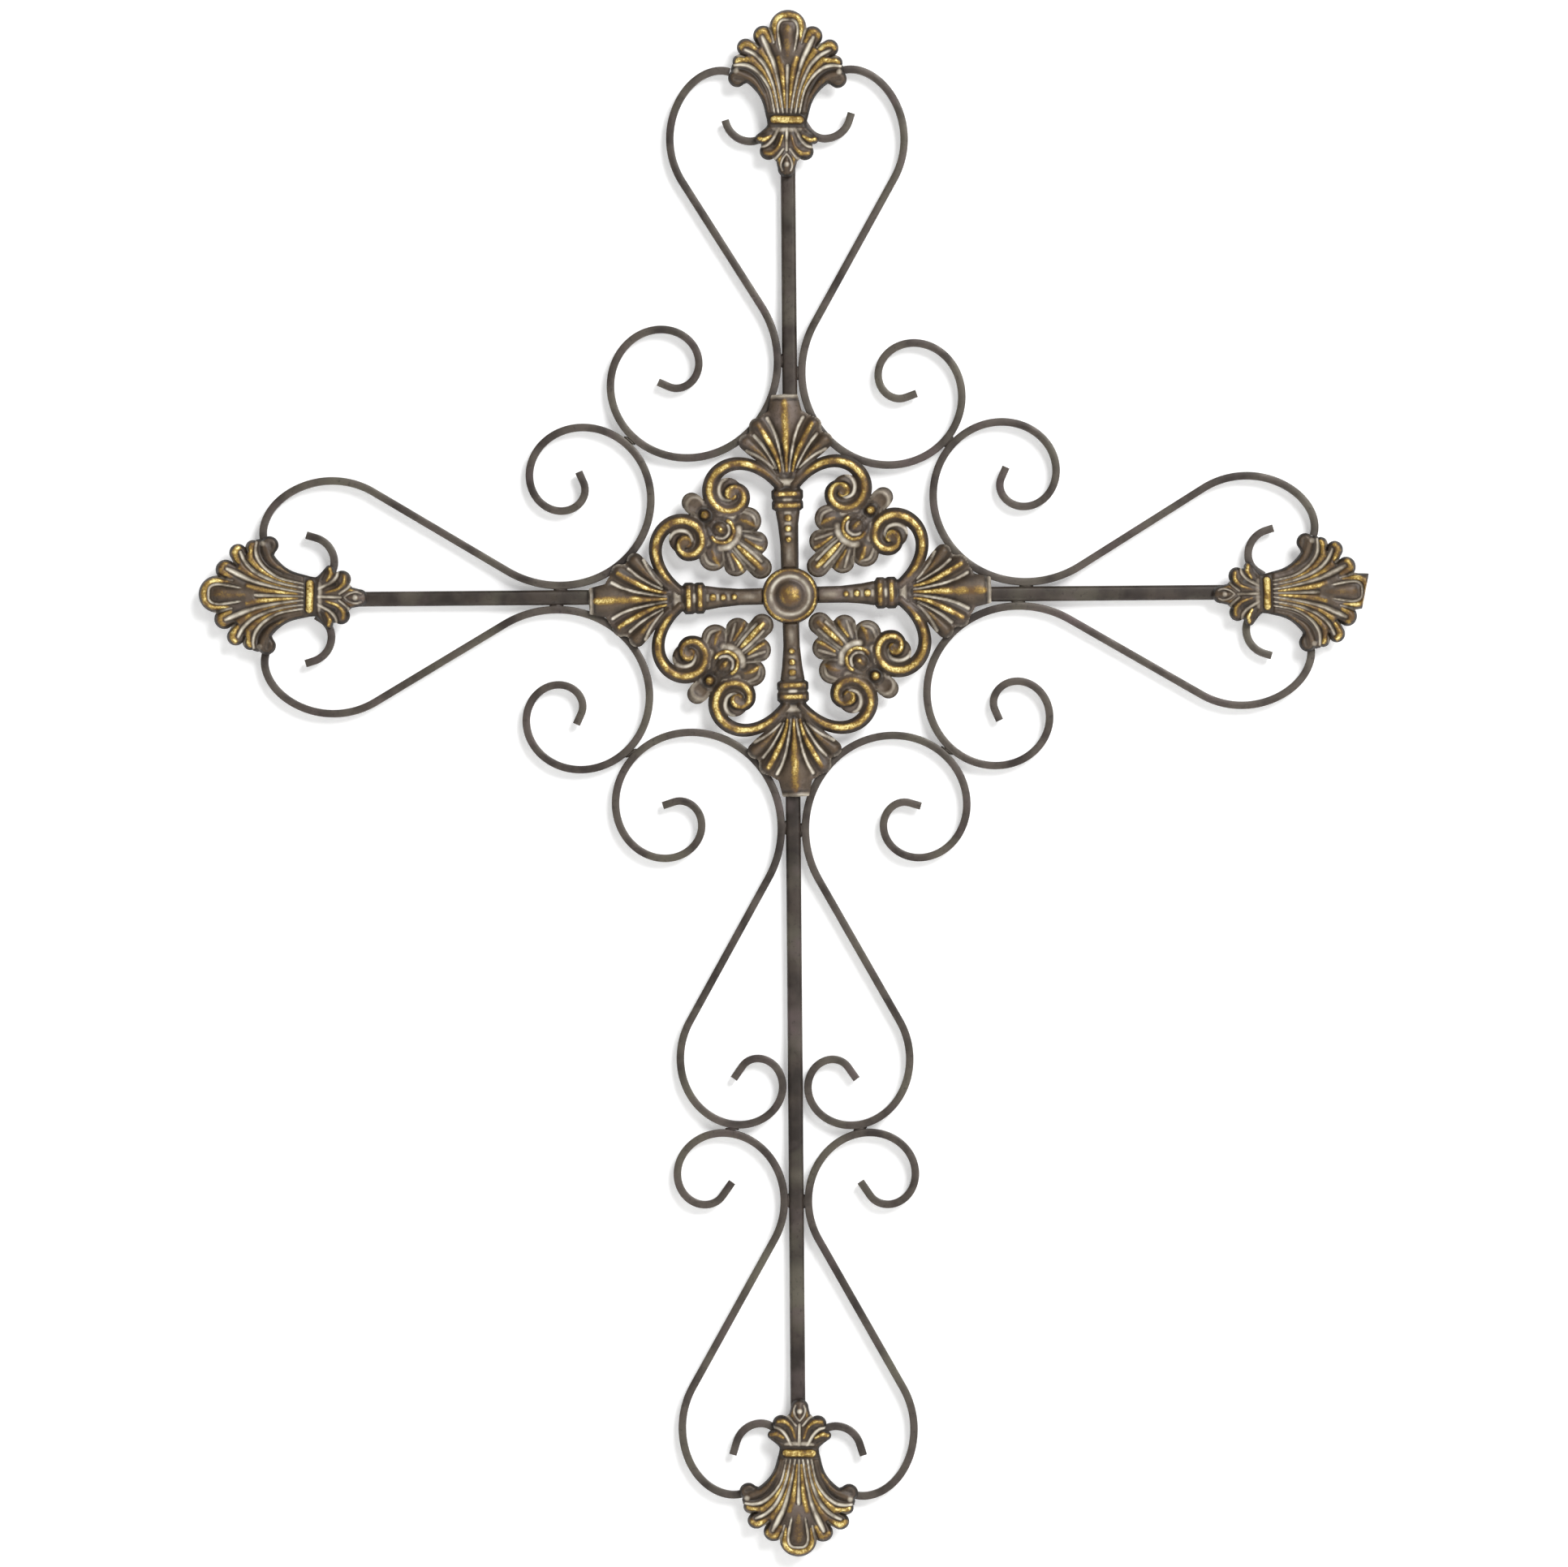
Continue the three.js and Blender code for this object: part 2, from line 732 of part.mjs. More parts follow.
add('upright', barGeometry(BAR_BOTTOM, BAR_TOP, 'top'), IRON);
add('arm_left', barGeometry(BAR_WIDTH / 2 + GAP, ARM_LEFT_END, 'left'), IRON);
add('arm_right', barGeometry(BAR_WIDTH / 2 + GAP, ARM_RIGHT_END, 'right'), IRON);
for (const [name, scroll] of Object.entries(SCROLLS)) {
  add(name, scrollRod(scroll, scroll.arm === 'bottom' ? WAIST_LOOP : ARM_LOOP), IRON);
}
for (const [name, scroll] of Object.entries(FOOT_SCROLLS)) {
  add(name, footRod(scroll), IRON);
}
for (const [name, hook] of Object.entries(HOOKS)) {
  add(name, hookRod(hook), IRON);
}
for (const [name, place] of Object.entries(FINIALS)) {
  add(name, finial(place), BRONZE);
}
add('medallion', medallion(), BRONZE);

export default cross;
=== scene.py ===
# A wall cross of dark iron bars and bent rods, with pressed leaf finials and a pressed medallion.
# Metres, in the frame of the solids: +X right, +Z up, the front faces -Y and the wall is at Y = 0.
import math

import bpy
import numpy as np
from mathutils import Matrix, Vector, noise


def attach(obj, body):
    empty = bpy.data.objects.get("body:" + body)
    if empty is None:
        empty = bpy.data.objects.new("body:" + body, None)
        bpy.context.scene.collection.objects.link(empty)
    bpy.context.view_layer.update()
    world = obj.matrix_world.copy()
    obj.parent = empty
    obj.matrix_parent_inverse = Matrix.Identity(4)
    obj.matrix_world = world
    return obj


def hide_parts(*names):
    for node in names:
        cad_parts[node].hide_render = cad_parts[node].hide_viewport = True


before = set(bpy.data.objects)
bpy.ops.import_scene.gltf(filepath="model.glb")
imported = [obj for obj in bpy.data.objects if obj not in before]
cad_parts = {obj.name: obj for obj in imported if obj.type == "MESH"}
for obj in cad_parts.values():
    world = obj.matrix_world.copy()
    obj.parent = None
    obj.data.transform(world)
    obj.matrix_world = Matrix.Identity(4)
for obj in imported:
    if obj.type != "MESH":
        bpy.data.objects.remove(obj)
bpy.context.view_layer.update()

MM = 0.001

# The white wall that the cross hangs on, a pale floor under it, soft light from the upper right, and a camera
# with a long lens square to the wall. The cross hangs a little askew, so the camera has a small roll.
BACKDROP_SIZE = 8
BACKDROP_MATT = 0.9
WALL_GAP = 3 * MM
WALL_MIDDLE = 2
WALL_WHITE = (0.85, 0.85, 0.85)
WALL_GLOW = 0.29
FLOOR_BELOW = 0.64
FLOOR_WHITE = (0.8, 0.8, 0.79)
FLOOR_GLOW = 0.2
LIT_PLACE = (0, 0, -0.1)
# Place, size and power.
LIGHTS = {
    "key_light": ((2.0, -3.8, 2.4), 2.3, 240),
    "fill_light": ((-1.6, -2.4, 0.4), 2, 4),
}
SKY_STRENGTH = 0.15
PICTURE = (1932, 1931)
MM_PER_PIXEL = 0.48
CROSSING_PIXEL = (975.2, 734.3)
ROLL = math.radians(0.46)
CAMERA_DISTANCE = 4.2
SENSOR = 36


def mode(kind):
    bpy.ops.object.mode_set(mode=kind)


def deselect_all():
    if bpy.context.object and bpy.context.object.mode != "OBJECT":
        mode("OBJECT")
    bpy.ops.object.select_all(action="DESELECT")


def shader_of(name):
    material = bpy.data.materials.new(name)
    material.use_nodes = True
    return material, material.node_tree, material.node_tree.nodes["Principled BSDF"]


def add_node(tree, kind, inputs=None, **settings):
    node = tree.nodes.new(kind)
    for key, value in settings.items():
        setattr(node, key, value)
    for key, value in (inputs or {}).items():
        if isinstance(value, bpy.types.NodeSocket):
            tree.links.new(value, node.inputs[key])
        else:
            node.inputs[key].default_value = value
    return node


def backdrop(name, location, rotation, colour, glow):
    """A plain sheet that is seen from its front only, so that views from behind it stay open."""
    deselect_all()
    bpy.ops.mesh.primitive_plane_add(size=BACKDROP_SIZE, location=location, rotation=rotation)
    sheet = bpy.context.object
    sheet.name = name
    material, tree, shader = shader_of(name)
    shader.inputs["Base Color"].default_value = (*colour, 1)
    shader.inputs["Roughness"].default_value = BACKDROP_MATT
    shader.inputs["Emission Color"].default_value = (1, 1, 1, 1)
    shader.inputs["Emission Strength"].default_value = glow
    behind = add_node(tree, "ShaderNodeNewGeometry").outputs["Backfacing"]
    clear = add_node(tree, "ShaderNodeBsdfTransparent").outputs["BSDF"]
    sides = {"Fac": behind, 1: shader.outputs["BSDF"], 2: clear}
    either = add_node(tree, "ShaderNodeMixShader", sides)
    tree.links.new(either.outputs["Shader"], tree.nodes["Material Output"].inputs["Surface"])
    sheet.data.materials.append(material)


backdrop("wall", (0, WALL_GAP, WALL_MIDDLE), (math.pi / 2, 0, 0), WALL_WHITE, WALL_GLOW)
backdrop("floor", (0, 0, -FLOOR_BELOW), (0, 0, 0), FLOOR_WHITE, FLOOR_GLOW)

for name, (location, size, power) in LIGHTS.items():
    deselect_all()
    bpy.ops.object.light_add(type="AREA", location=location)
    lamp = bpy.context.object
    lamp.name = name
    lamp.data.shape = "DISK"
    lamp.data.size = size
    lamp.data.energy = power
    lamp.rotation_euler = (Vector(LIT_PLACE) - Vector(location)).to_track_quat("-Z", "Y").to_euler()

sky = bpy.data.worlds.new("studio")
sky.use_nodes = True
sky.node_tree.nodes["Background"].inputs["Color"].default_value = (1, 1, 1, 1)
sky.node_tree.nodes["Background"].inputs["Strength"].default_value = SKY_STRENGTH
bpy.context.scene.world = sky
bpy.context.scene.view_settings.view_transform = "Standard"

right = PICTURE[0] / 2 - CROSSING_PIXEL[0]
down = PICTURE[1] / 2 - CROSSING_PIXEL[1]
middle_x = (right * math.cos(ROLL) - down * math.sin(ROLL)) * MM_PER_PIXEL * MM
middle_z = -(right * math.sin(ROLL) + down * math.cos(ROLL)) * MM_PER_PIXEL * MM
deselect_all()
bpy.ops.object.camera_add()
camera = bpy.context.object
camera.data.sensor_width = SENSOR
camera.data.lens = SENSOR * CAMERA_DISTANCE / (PICTURE[0] * MM_PER_PIXEL * MM)
camera.matrix_world = (
    Matrix.Translation((middle_x, -CAMERA_DISTANCE, middle_z))
    @ Matrix.Rotation(math.pi / 2, 4, "X")
    @ Matrix.Rotation(-ROLL, 4, "Z")
)
bpy.context.scene.camera = camera

# The bars: a long upright and two shorter arms of flattened iron tube, butted on the upright at the crossing.
# They are painted dark brown, and the paint is mottled and rubbed. Their cut ends are open.
BAR_WIDTH = 8.8
BAR_DEPTH = 6
BAR_CORNER = 2.35
BAR_CORNER_STEPS = 5
BAR_WALL = 1
BAR_HOLLOW = 20
BAR_SMOOTH = math.radians(40)
CROSSING_GAP = 0.3
# Start, end and turn from upright in degrees.
BARS = {
    "upright": (-524, 300, 0),
    "arm_left": (BAR_WIDTH / 2 + CROSSING_GAP, 303, 90),
    "arm_right": (BAR_WIDTH / 2 + CROSSING_GAP, 298, -90),
}


def colour_of(red, green, blue):
    """A colour of 0 to 255 as the shader's own numbers."""
    shares = [c / 255 for c in (red, green, blue)]
    return tuple(c / 12.92 if c <= 0.04045 else ((c + 0.055) / 1.055) ** 2.4 for c in shares) + (1,)


def grain(tree, place, scale, detail=3, roughness=0.55):
    """Cloudy noise of that many patches a metre."""
    inputs = {"Vector": place, "Scale": scale, "Detail": detail, "Roughness": roughness}
    return add_node(tree, "ShaderNodeTexNoise", inputs).outputs["Fac"]


def ramp(tree, value, low, high):
    """0 under low and 1 over high."""
    inputs = {"Value": value, "From Min": low, "From Max": high}
    return add_node(tree, "ShaderNodeMapRange", inputs).outputs["Result"]


def tint(tree, share, under, over):
    """A share of one colour over another."""
    inputs = {0: share, 6: under, 7: over}
    return add_node(tree, "ShaderNodeMix", inputs, data_type="RGBA").outputs[2]


def times(tree, a, b):
    return add_node(tree, "ShaderNodeMath", {0: a, 1: b}, operation="MULTIPLY").outputs[0]


def mottle(tree, place, colour, patches):
    """Lays patches of (count a metre, detail, where they begin, where they are whole, colour) on a colour."""
    for scale, detail, low, high, over in patches:
        colour = tint(tree, ramp(tree, grain(tree, place, scale, detail), low, high), colour, over)
    return colour


PIT_DEPTH = 0.3 * MM


def pit(tree, shader, place, scale, strength):
    """Gives a finish that many fine pits a metre."""
    inputs = {"Height": grain(tree, place, scale, 5), "Strength": strength, "Distance": PIT_DEPTH}
    tree.links.new(add_node(tree, "ShaderNodeBump", inputs).outputs["Normal"], shader.inputs["Normal"])


IRON_GREEN = colour_of(88, 83, 71)
IRON_PURPLE = colour_of(82, 70, 68)
IRON_METAL = 0.25
IRON_PITS = (900, 0.25)


def painted_iron(name, brown, worn):
    """Brown paint over dark iron, mottled with a greenish and a purplish patina and pitted."""
    finish, tree, shader = shader_of(name)
    place = add_node(tree, "ShaderNodeTexCoord").outputs["Object"]
    patches = [
        (55, 3, 0.4, 0.66, worn),
        (21, 3, 0.5, 0.72, IRON_GREEN),
        (34, 3, 0.55, 0.75, IRON_PURPLE),
        (420, 4, 0.58, 0.8, worn),
    ]
    tree.links.new(mottle(tree, place, brown, patches), shader.inputs["Base Color"])
    tree.links.new(ramp(tree, grain(tree, place, 140), -0.4, 1.5), shader.inputs["Roughness"])
    shader.inputs["Metallic"].default_value = IRON_METAL
    pit(tree, shader, place, *IRON_PITS)
    return finish


bar_iron = painted_iron("bar_iron", colour_of(60, 51, 44), colour_of(34, 26, 20))


def select_parts(piece, kind, wanted):
    """Selects the edges or faces that pass, in edit mode."""
    mode("EDIT")
    bpy.ops.mesh.select_mode(type=kind)
    bpy.ops.mesh.select_all(action="DESELECT")
    mode("OBJECT")
    for part in piece.data.edges if kind == "EDGE" else piece.data.polygons:
        part.select = bool(wanted(part))
    mode("EDIT")


def wear(piece, node, finish):
    """Gives a finished piece its material and its body, and hides the part of model.glb that it stands for.
    """
    piece.data.materials.clear()
    piece.data.materials.append(finish)
    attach(piece, "root")
    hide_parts(node)


FACING = 0.9


def bar(name, start, end, turn):
    """A box with rounded edges along it and a hollow pressed into each end, laid along its arm."""
    deselect_all()
    bpy.ops.mesh.primitive_cube_add(size=1, location=(0, -BAR_DEPTH / 2 * MM, (start + end) / 2 * MM))
    piece = bpy.context.object
    piece.name = name + "_tube"
    piece.scale = (BAR_WIDTH * MM, BAR_DEPTH * MM, (end - start) * MM)
    bpy.ops.object.transform_apply(location=True, rotation=True, scale=True)
    corners = piece.data.vertices
    length = lambda edge: abs(corners[edge.vertices[0]].co.z - corners[edge.vertices[1]].co.z)
    select_parts(piece, "EDGE", lambda edge: length(edge) > BAR_WIDTH * MM)
    bpy.ops.mesh.bevel(offset=BAR_CORNER * MM, segments=BAR_CORNER_STEPS, affect="EDGES")
    select_parts(piece, "FACE", lambda face: abs(face.normal.z) > FACING)
    bpy.ops.mesh.inset(thickness=BAR_WALL * MM, use_individual=True)
    for end_up in (1, -1):
        tip = (end if end_up > 0 else start) * MM
        inside = lambda face: (
            face.normal.z * end_up > FACING
            and abs(face.center.z - tip) < MM
            and len(face.vertices) > 4
        )
        select_parts(piece, "FACE", inside)
        bpy.ops.mesh.extrude_region_move(TRANSFORM_OT_translate={"value": (0, 0, -end_up * BAR_HOLLOW * MM)})
    bpy.ops.mesh.select_all(action="SELECT")
    bpy.ops.mesh.normals_make_consistent(inside=False)
    mode("OBJECT")
    bpy.ops.object.shade_smooth_by_angle(angle=BAR_SMOOTH)
    piece.data.transform(Matrix.Rotation(math.radians(-turn), 4, "Y"))
    wear(piece, name, bar_iron)


for name, (start, end, turn) in BARS.items():
    bar(name, start, end, turn)

# The scrolls: square iron rods bent cold round formers, each from the place where it is welded to its bar.
# One end rolls into a curl towards the crossing, and the other makes a half heart that ends at a finial.
ROD = 4.5
ROD_CORNER = 0.6
ROD_END_BEVEL = 0.45
ROD_SMOOTH = math.radians(35)
ROD_GAP = 0.5
ROD_TOUCH = BAR_WIDTH / 2 + ROD_GAP + ROD / 2
ROD_MIDDLE = 3
ROD_STEP = 1.6
MERGE_WITHIN = 1e-6
CURL_RADIUS = 60.5
CURL_MIDDLE = 38.5
CURL_EYE = 10
CURL_LENGTH = 110
CURL_TIP = 7
# Bends of the half hearts as (length, first radius, last radius). Radius 0 is straight.
ARM_LOOP = [(47.5, -48, -48), (40, -48, -13.2)]
WAIST_LOOP = [(23.5, -45.5, -45.5), (67.5, -45.5, -27), (63, -27, -9.5), (9, 0, 0)]
rod_iron = painted_iron("rod_iron", colour_of(78, 70, 63), colour_of(44, 36, 31))
# Arm, side, place of the weld, length of the wide bend, size of the curl, angle off the bar, straight run.
SCROLLS = {
    "scroll_top_left": ("top", -1, 139, 153, 1.024, 32, 87),
    "scroll_top_right": ("top", 1, 131.5, 143.5, 0.984, 29.3, 97.5),
    "scroll_left_upper": ("left", 1, 136.5, 144, 0.967, 31, 92),
    "scroll_left_lower": ("left", -1, 139, 147, 0.98, 30.6, 89),
    "scroll_right_upper": ("right", 1, 138.8, 146.5, 0.98, 31.8, 86),
    "scroll_right_lower": ("right", -1, 134, 145.5, 0.977, 30.2, 89.5),
    "scroll_waist_left": ("bottom", -1, 137, 147.5, 1.021, 29.2, 96.8),
    "scroll_waist_right": ("bottom", 1, 138.5, 143, 0.999, 29.3, 96),
}
FOOT_RADIUS = 46.5
FOOT_CURL = [(83, -32, -11), (10, 0, 0)]
FOOT_LOOP = [(35, -50, -50), (50.5, -50, -17)]
# Side, place of the weld, length of the wide bend, angle off the bar, straight run.
FOOT_SCROLLS = {
    "scroll_foot_left": (-1, 357.5, 56, 29.4, 99.5),
    "scroll_foot_right": (1, 358, 57, 29.2, 100.5),
}
# The way outward along each arm, the way across it, and its turn from upright.
ARMS = {
    "top": ((0, 1), (1, 0), 0),
    "left": ((-1, 0), (0, 1), 90),
    "right": ((1, 0), (0, 1), -90),
    "bottom": ((0, -1), (1, 0), 180),
}


def follow(start, heading, bends, step):
    """Places along a row of bends."""
    x, y = start
    places = [(x, y)]
    for length, first, last in bends:
        count = max(2, math.ceil(length / step))
        piece = length / count
        for i in range(count):
            radius = first + (last - first) * (i + 0.5) / count
            turn = piece / radius if radius else 0
            x += piece * math.cos(heading + turn / 2)
            y += piece * math.sin(heading + turn / 2)
            heading += turn
            places.append((x, y))
    return places


def two_way(start, heading, backward, forward):
    """Places along a rod that is bent both ways from where it starts."""
    back = follow(start, heading + math.pi, backward, ROD_STEP)[::-1]
    return back + follow(start, heading, forward, ROD_STEP)[1:]


# the rod's square section, with its corners rounded
deselect_all()
bpy.ops.curve.primitive_bezier_circle_add()
rod_section = bpy.context.object
rod_section.name = "rod_section"
rod_section.data.dimensions = "2D"
rod_section.data.splines.clear()
outline = rod_section.data.splines.new("POLY")
corner_places = []
inner = ROD / 2 - ROD_CORNER
for quarter, (cx, cy) in enumerate([(inner, inner), (-inner, inner), (-inner, -inner), (inner, -inner)]):
    for part in range(3):
        angle = math.radians(90 * quarter + 45 * part)
        corner_places.append((cx + ROD_CORNER * math.cos(angle), cy + ROD_CORNER * math.sin(angle)))
outline.points.add(len(corner_places) - 1)
for point, (x, y) in zip(outline.points, corner_places):
    point.co = (x * MM, y * MM, 0, 1)
outline.use_cyclic_u = True

rod_lines = {}


def rod(name, arm, side, places):
    """A rod through places of (along the arm, out from it), with its cut ends eased."""
    out, across, _ = ARMS[arm]
    rod_lines[name] = [
        (out[0] * u + across[0] * side * v, out[1] * u + across[1] * side * v) for u, v in places
    ]
    deselect_all()
    bpy.ops.curve.primitive_nurbs_path_add()
    piece = bpy.context.object
    piece.name = name + "_rod"
    piece.location = (0, 0, 0)
    piece.data.dimensions = "3D"
    piece.data.twist_mode = "MINIMUM"
    piece.data.splines.clear()
    line = piece.data.splines.new("POLY")
    line.points.add(len(places) - 1)
    for point, (x, z) in zip(line.points, rod_lines[name]):
        point.co = (x * MM, -ROD_MIDDLE * MM, z * MM, 1)
    piece.data.bevel_mode = "OBJECT"
    piece.data.bevel_object = rod_section
    piece.data.use_fill_caps = True
    bpy.ops.object.convert(target="MESH")
    piece = bpy.context.object
    mode("EDIT")
    bpy.ops.mesh.select_all(action="SELECT")
    bpy.ops.mesh.remove_doubles(threshold=MERGE_WITHIN)
    bpy.ops.mesh.normals_make_consistent(inside=False)
    select_parts(piece, "FACE", lambda face: len(face.vertices) > 4)
    bpy.ops.mesh.bevel(offset=ROD_END_BEVEL * MM, segments=2, affect="EDGES")
    mode("OBJECT")
    bpy.ops.object.shade_smooth_by_angle(angle=ROD_SMOOTH)
    wear(piece, name, rod_iron)


for name, (arm, side, touch, first, size, bend, run) in SCROLLS.items():
    curl = [
        (first, -CURL_RADIUS * size, -CURL_MIDDLE * size),
        (CURL_LENGTH * size, -CURL_MIDDLE * size, -CURL_EYE * size),
        (CURL_TIP, 0, 0),
    ]
    leave = (CURL_RADIUS * math.radians(bend), CURL_RADIUS, CURL_RADIUS)
    loop = WAIST_LOOP if arm == "bottom" else ARM_LOOP
    rod(name, arm, side, two_way((touch, ROD_TOUCH), 0, curl, [leave, (run, 0, 0), *loop]))

for name, (side, touch, first, bend, run) in FOOT_SCROLLS.items():
    curl = [(first, -FOOT_RADIUS, FOOT_CURL[0][1]), *FOOT_CURL]
    leave = (FOOT_RADIUS * math.radians(bend), FOOT_RADIUS, FOOT_RADIUS)
    rod(name, "bottom", side, two_way((touch, ROD_TOUCH), 0, curl, [leave, (run, 0, 0), *FOOT_LOOP]))

# The hooks: short lengths of the same rod, a pair at each finial, bent like a C with the inner end behind the
# finial's calyx, where it is welded, and the outer end cut square.
HOOK_ACROSS = 22
# Radius and turn of the bends.
HOOK_OUTER = (15, math.radians(73))
HOOK_INNER = (12, math.radians(58))
HOOK_INNER_RUN = 4
# Arm, side, place of the trough along the arm, straight end.
HOOKS = {
    "hook_top_left": ("top", -1, 268.7, 2),
    "hook_top_right": ("top", 1, 270, 4.5),
    "hook_left_upper": ("left", 1, 270, 6),
    "hook_left_lower": ("left", -1, 272, 5),
    "hook_right_upper": ("right", 1, 270, 4.5),
    "hook_right_lower": ("right", -1, 268.5, 4.5),
    "hook_bottom_left": ("bottom", -1, 489, 8),
    "hook_bottom_right": ("bottom", 1, 491, 7),
}
for name, (arm, side, trough, tail) in HOOKS.items():
    radius, turn = HOOK_OUTER
    outer = [(radius * turn, -radius, -radius), (tail, 0, 0)]
    radius, turn = HOOK_INNER
    inner = [(radius * turn, radius, radius), (HOOK_INNER_RUN, 0, 0)]
    rod(name, arm, side, two_way((trough, HOOK_ACROSS), math.pi / 2, inner, outer))

deselect_all()
bpy.data.objects.remove(rod_section)

# The welds: small lumpy beads of the same iron in the seams, where each scroll touches its bar and where
# neighbouring scrolls come closest. They are painted over with the rods.
# Half sizes along the seam, front to back and across it.
WELD_HALF = (4.2, 1.8, 1.0)
WELD_LUMPS = 0.3
WELD_SEED = 5
WELD_LUMPS_PER_MM = 0.6
WELDED_PAIRS = [
    ("scroll_top_left", "scroll_left_upper"),
    ("scroll_top_right", "scroll_right_upper"),
    ("scroll_left_lower", "scroll_waist_left"),
    ("scroll_right_lower", "scroll_waist_right"),
    ("scroll_waist_left", "scroll_foot_left"),
    ("scroll_waist_right", "scroll_foot_right"),
]


def closest(line, other):
    """The nearest places of two lines."""
    first, second = np.array(line), np.array(other)
    apart = np.linalg.norm(first[:, None] - second[None], axis=2)
    i, j = np.unravel_index(apart.argmin(), apart.shape)
    return first[i], second[j]


def weld(here, there):
    """A bead that fills the seam between two places that face each other."""
    along, deep, wide = WELD_HALF
    x, z = (np.array(here) + np.array(there)) / 2
    seam = math.atan2(there[1] - here[1], there[0] - here[0]) + math.pi / 2
    deselect_all()
    bpy.ops.mesh.primitive_ico_sphere_add(subdivisions=4, radius=1)
    bead = bpy.context.object
    bead.data.transform(
        Matrix.Translation((x, -ROD_MIDDLE, z))
        @ Matrix.Rotation(-seam, 4, "Y")
        @ Matrix.Diagonal((along, deep, wide, 1))
    )
    for vertex in bead.data.vertices:
        vertex.co += Vector(noise.noise_vector(vertex.co * WELD_LUMPS_PER_MM)) * WELD_LUMPS
    bead.data.transform(Matrix.Scale(MM, 4))
    return bead


noise.seed_set(WELD_SEED)
beads = [weld(*closest(rod_lines[a], rod_lines[b])) for a, b in WELDED_PAIRS]
touches = [(arm, side, touch) for arm, side, touch, *_ in SCROLLS.values()]
touches += [("bottom", side, touch) for side, touch, *_ in FOOT_SCROLLS.values()]
for arm, side, touch in touches:
    out, across, _ = ARMS[arm]
    ends = [
        [out[k] * touch + across[k] * side * v for k in (0, 1)]
        for v in (BAR_WIDTH / 2, BAR_WIDTH / 2 + ROD_GAP)
    ]
    beads.append(weld(*ends))
deselect_all()
for bead in beads:
    bead.select_set(True)
bpy.ops.object.join()
piece = bpy.context.object
piece.name = "weld_beads"
bpy.ops.object.shade_smooth()
piece.data.materials.append(rod_iron)
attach(piece, "root")

# The finials: palmettes pressed from thin sheet, with a hooped top lobe, fluted side lobes, a gilt collar
# and a leafy calyx below it. They lie on the bars and are painted bronze, rubbed with gold on the high parts
# and washed with pale grey in the creases.
PRESSING_BACK = 6.3
SHEET = 0.9
RIM = 1.4
OUTSIDE = -99.0
PAINTS = ("gold", "pale", "dark")


class Relief:
    """Heights of a pressing over its flat back on a grid of places, in millimetres, and how it is painted.

    inside is the distance in from the outline. gold, pale and dark are shares of rubbed gold, pale wash and
    dark, which is patina together with painted shade on the slopes, along the edges and in the creases."""

    def __init__(self, across, along):
        self.x, self.z = across, along
        self.inside = np.full(across.shape, OUTSIDE)
        self.height = np.full(across.shape, RIM)
        for paint in PAINTS:
            setattr(self, paint, np.zeros(across.shape))

    def at_least(self, near=..., **layers):
        """Brings layers up to these values where they are lower."""
        for name, value in layers.items():
            layer = getattr(self, name)
            layer[near] = np.maximum(layer[near], value)

    def cover(self, where, near=..., **layers):
        """Sets layers to these values where a form lies over what is there."""
        for name, value in layers.items():
            layer = getattr(self, name)
            layer[near] = np.where(where, value, layer[near])


def smooth_line(places, step=0.8):
    """A row of places joined by smooth bends, with every column following."""
    rows = np.array(places, float)
    padded = np.vstack([2 * rows[0] - rows[1], rows, 2 * rows[-1] - rows[-2]])
    made = []
    for a, b, c, d in zip(padded, padded[1:], padded[2:], padded[3:]):
        count = max(2, int(np.hypot(*(c - b)[:2]) / step))
        for u in np.arange(count) / count:
            bend = (2 * a - 5 * b + 4 * c - d) * u**2 + (3 * b - a - 3 * c + d) * u**3
            made.append(b + 0.5 * ((c - a) * u + bend))
    return np.array(made + [rows[-1]])


def beside(x, z, line, reach):
    """The places within reach of a line, their distance from it, and the line's other columns there."""
    near = (
        (x > line[:, 0].min() - reach)
        & (x < line[:, 0].max() + reach)
        & (z > line[:, 1].min() - reach)
        & (z < line[:, 1].max() + reach)
    )
    px, pz = x[near], z[near]
    distance = np.full(px.shape, 1e6)
    columns = np.zeros((line.shape[1] - 2, len(px)))
    for a, b in zip(line[:-1], line[1:]):
        dx, dz = b[0] - a[0], b[1] - a[1]
        length = dx * dx + dz * dz
        if length == 0:
            continue
        share = np.clip(((px - a[0]) * dx + (pz - a[1]) * dz) / length, 0, 1)
        apart = np.hypot(px - a[0] - share * dx, pz - a[1] - share * dz)
        closer = apart < distance
        distance[closer] = apart[closer]
        for k in range(2, len(a)):
            columns[k - 2][closer] = (a[k] + (b[k] - a[k]) * share)[closer]
    return near, distance, columns


def half_width(along, stations, halves):
    """The half width along a form, which is nothing past its ends."""
    return np.interp(along, stations, halves, left=OUTSIDE, right=OUTSIDE)


def bell(distance, width, power=2):
    """1 in the middle, falling towards 0 past its width."""
    return np.exp(-(np.abs(distance / width) ** power))


def arched(share):
    """The height of an arch from 1 at its crest to 0 at its foot."""
    return np.clip(1 - share**2, 0, 1) ** 0.8


# How far from its line a lobe, a groove and a crest can reach.
LOBE_REACH = 20
GROOVE_REACH = 8
CREST_REACH = 14


def lobe(relief, places, rise=0.0):
    """Adds a lobe of (across, along, half width) to the outline, arched up by its rise."""
    near, distance, (half,) = beside(relief.x, relief.z, smooth_line(places), LOBE_REACH)
    relief.at_least(near, inside=half - distance, height=RIM + rise * arched(distance / half))


# A groove is a narrow cut in a broad dip: their shares of the depth, and the dip's half width from the cut's.
CUT_SHARE = 0.65
DIP_SHARE = 0.45
DIP_WIDTH = 2.2
DIP_SPREAD = 0.5
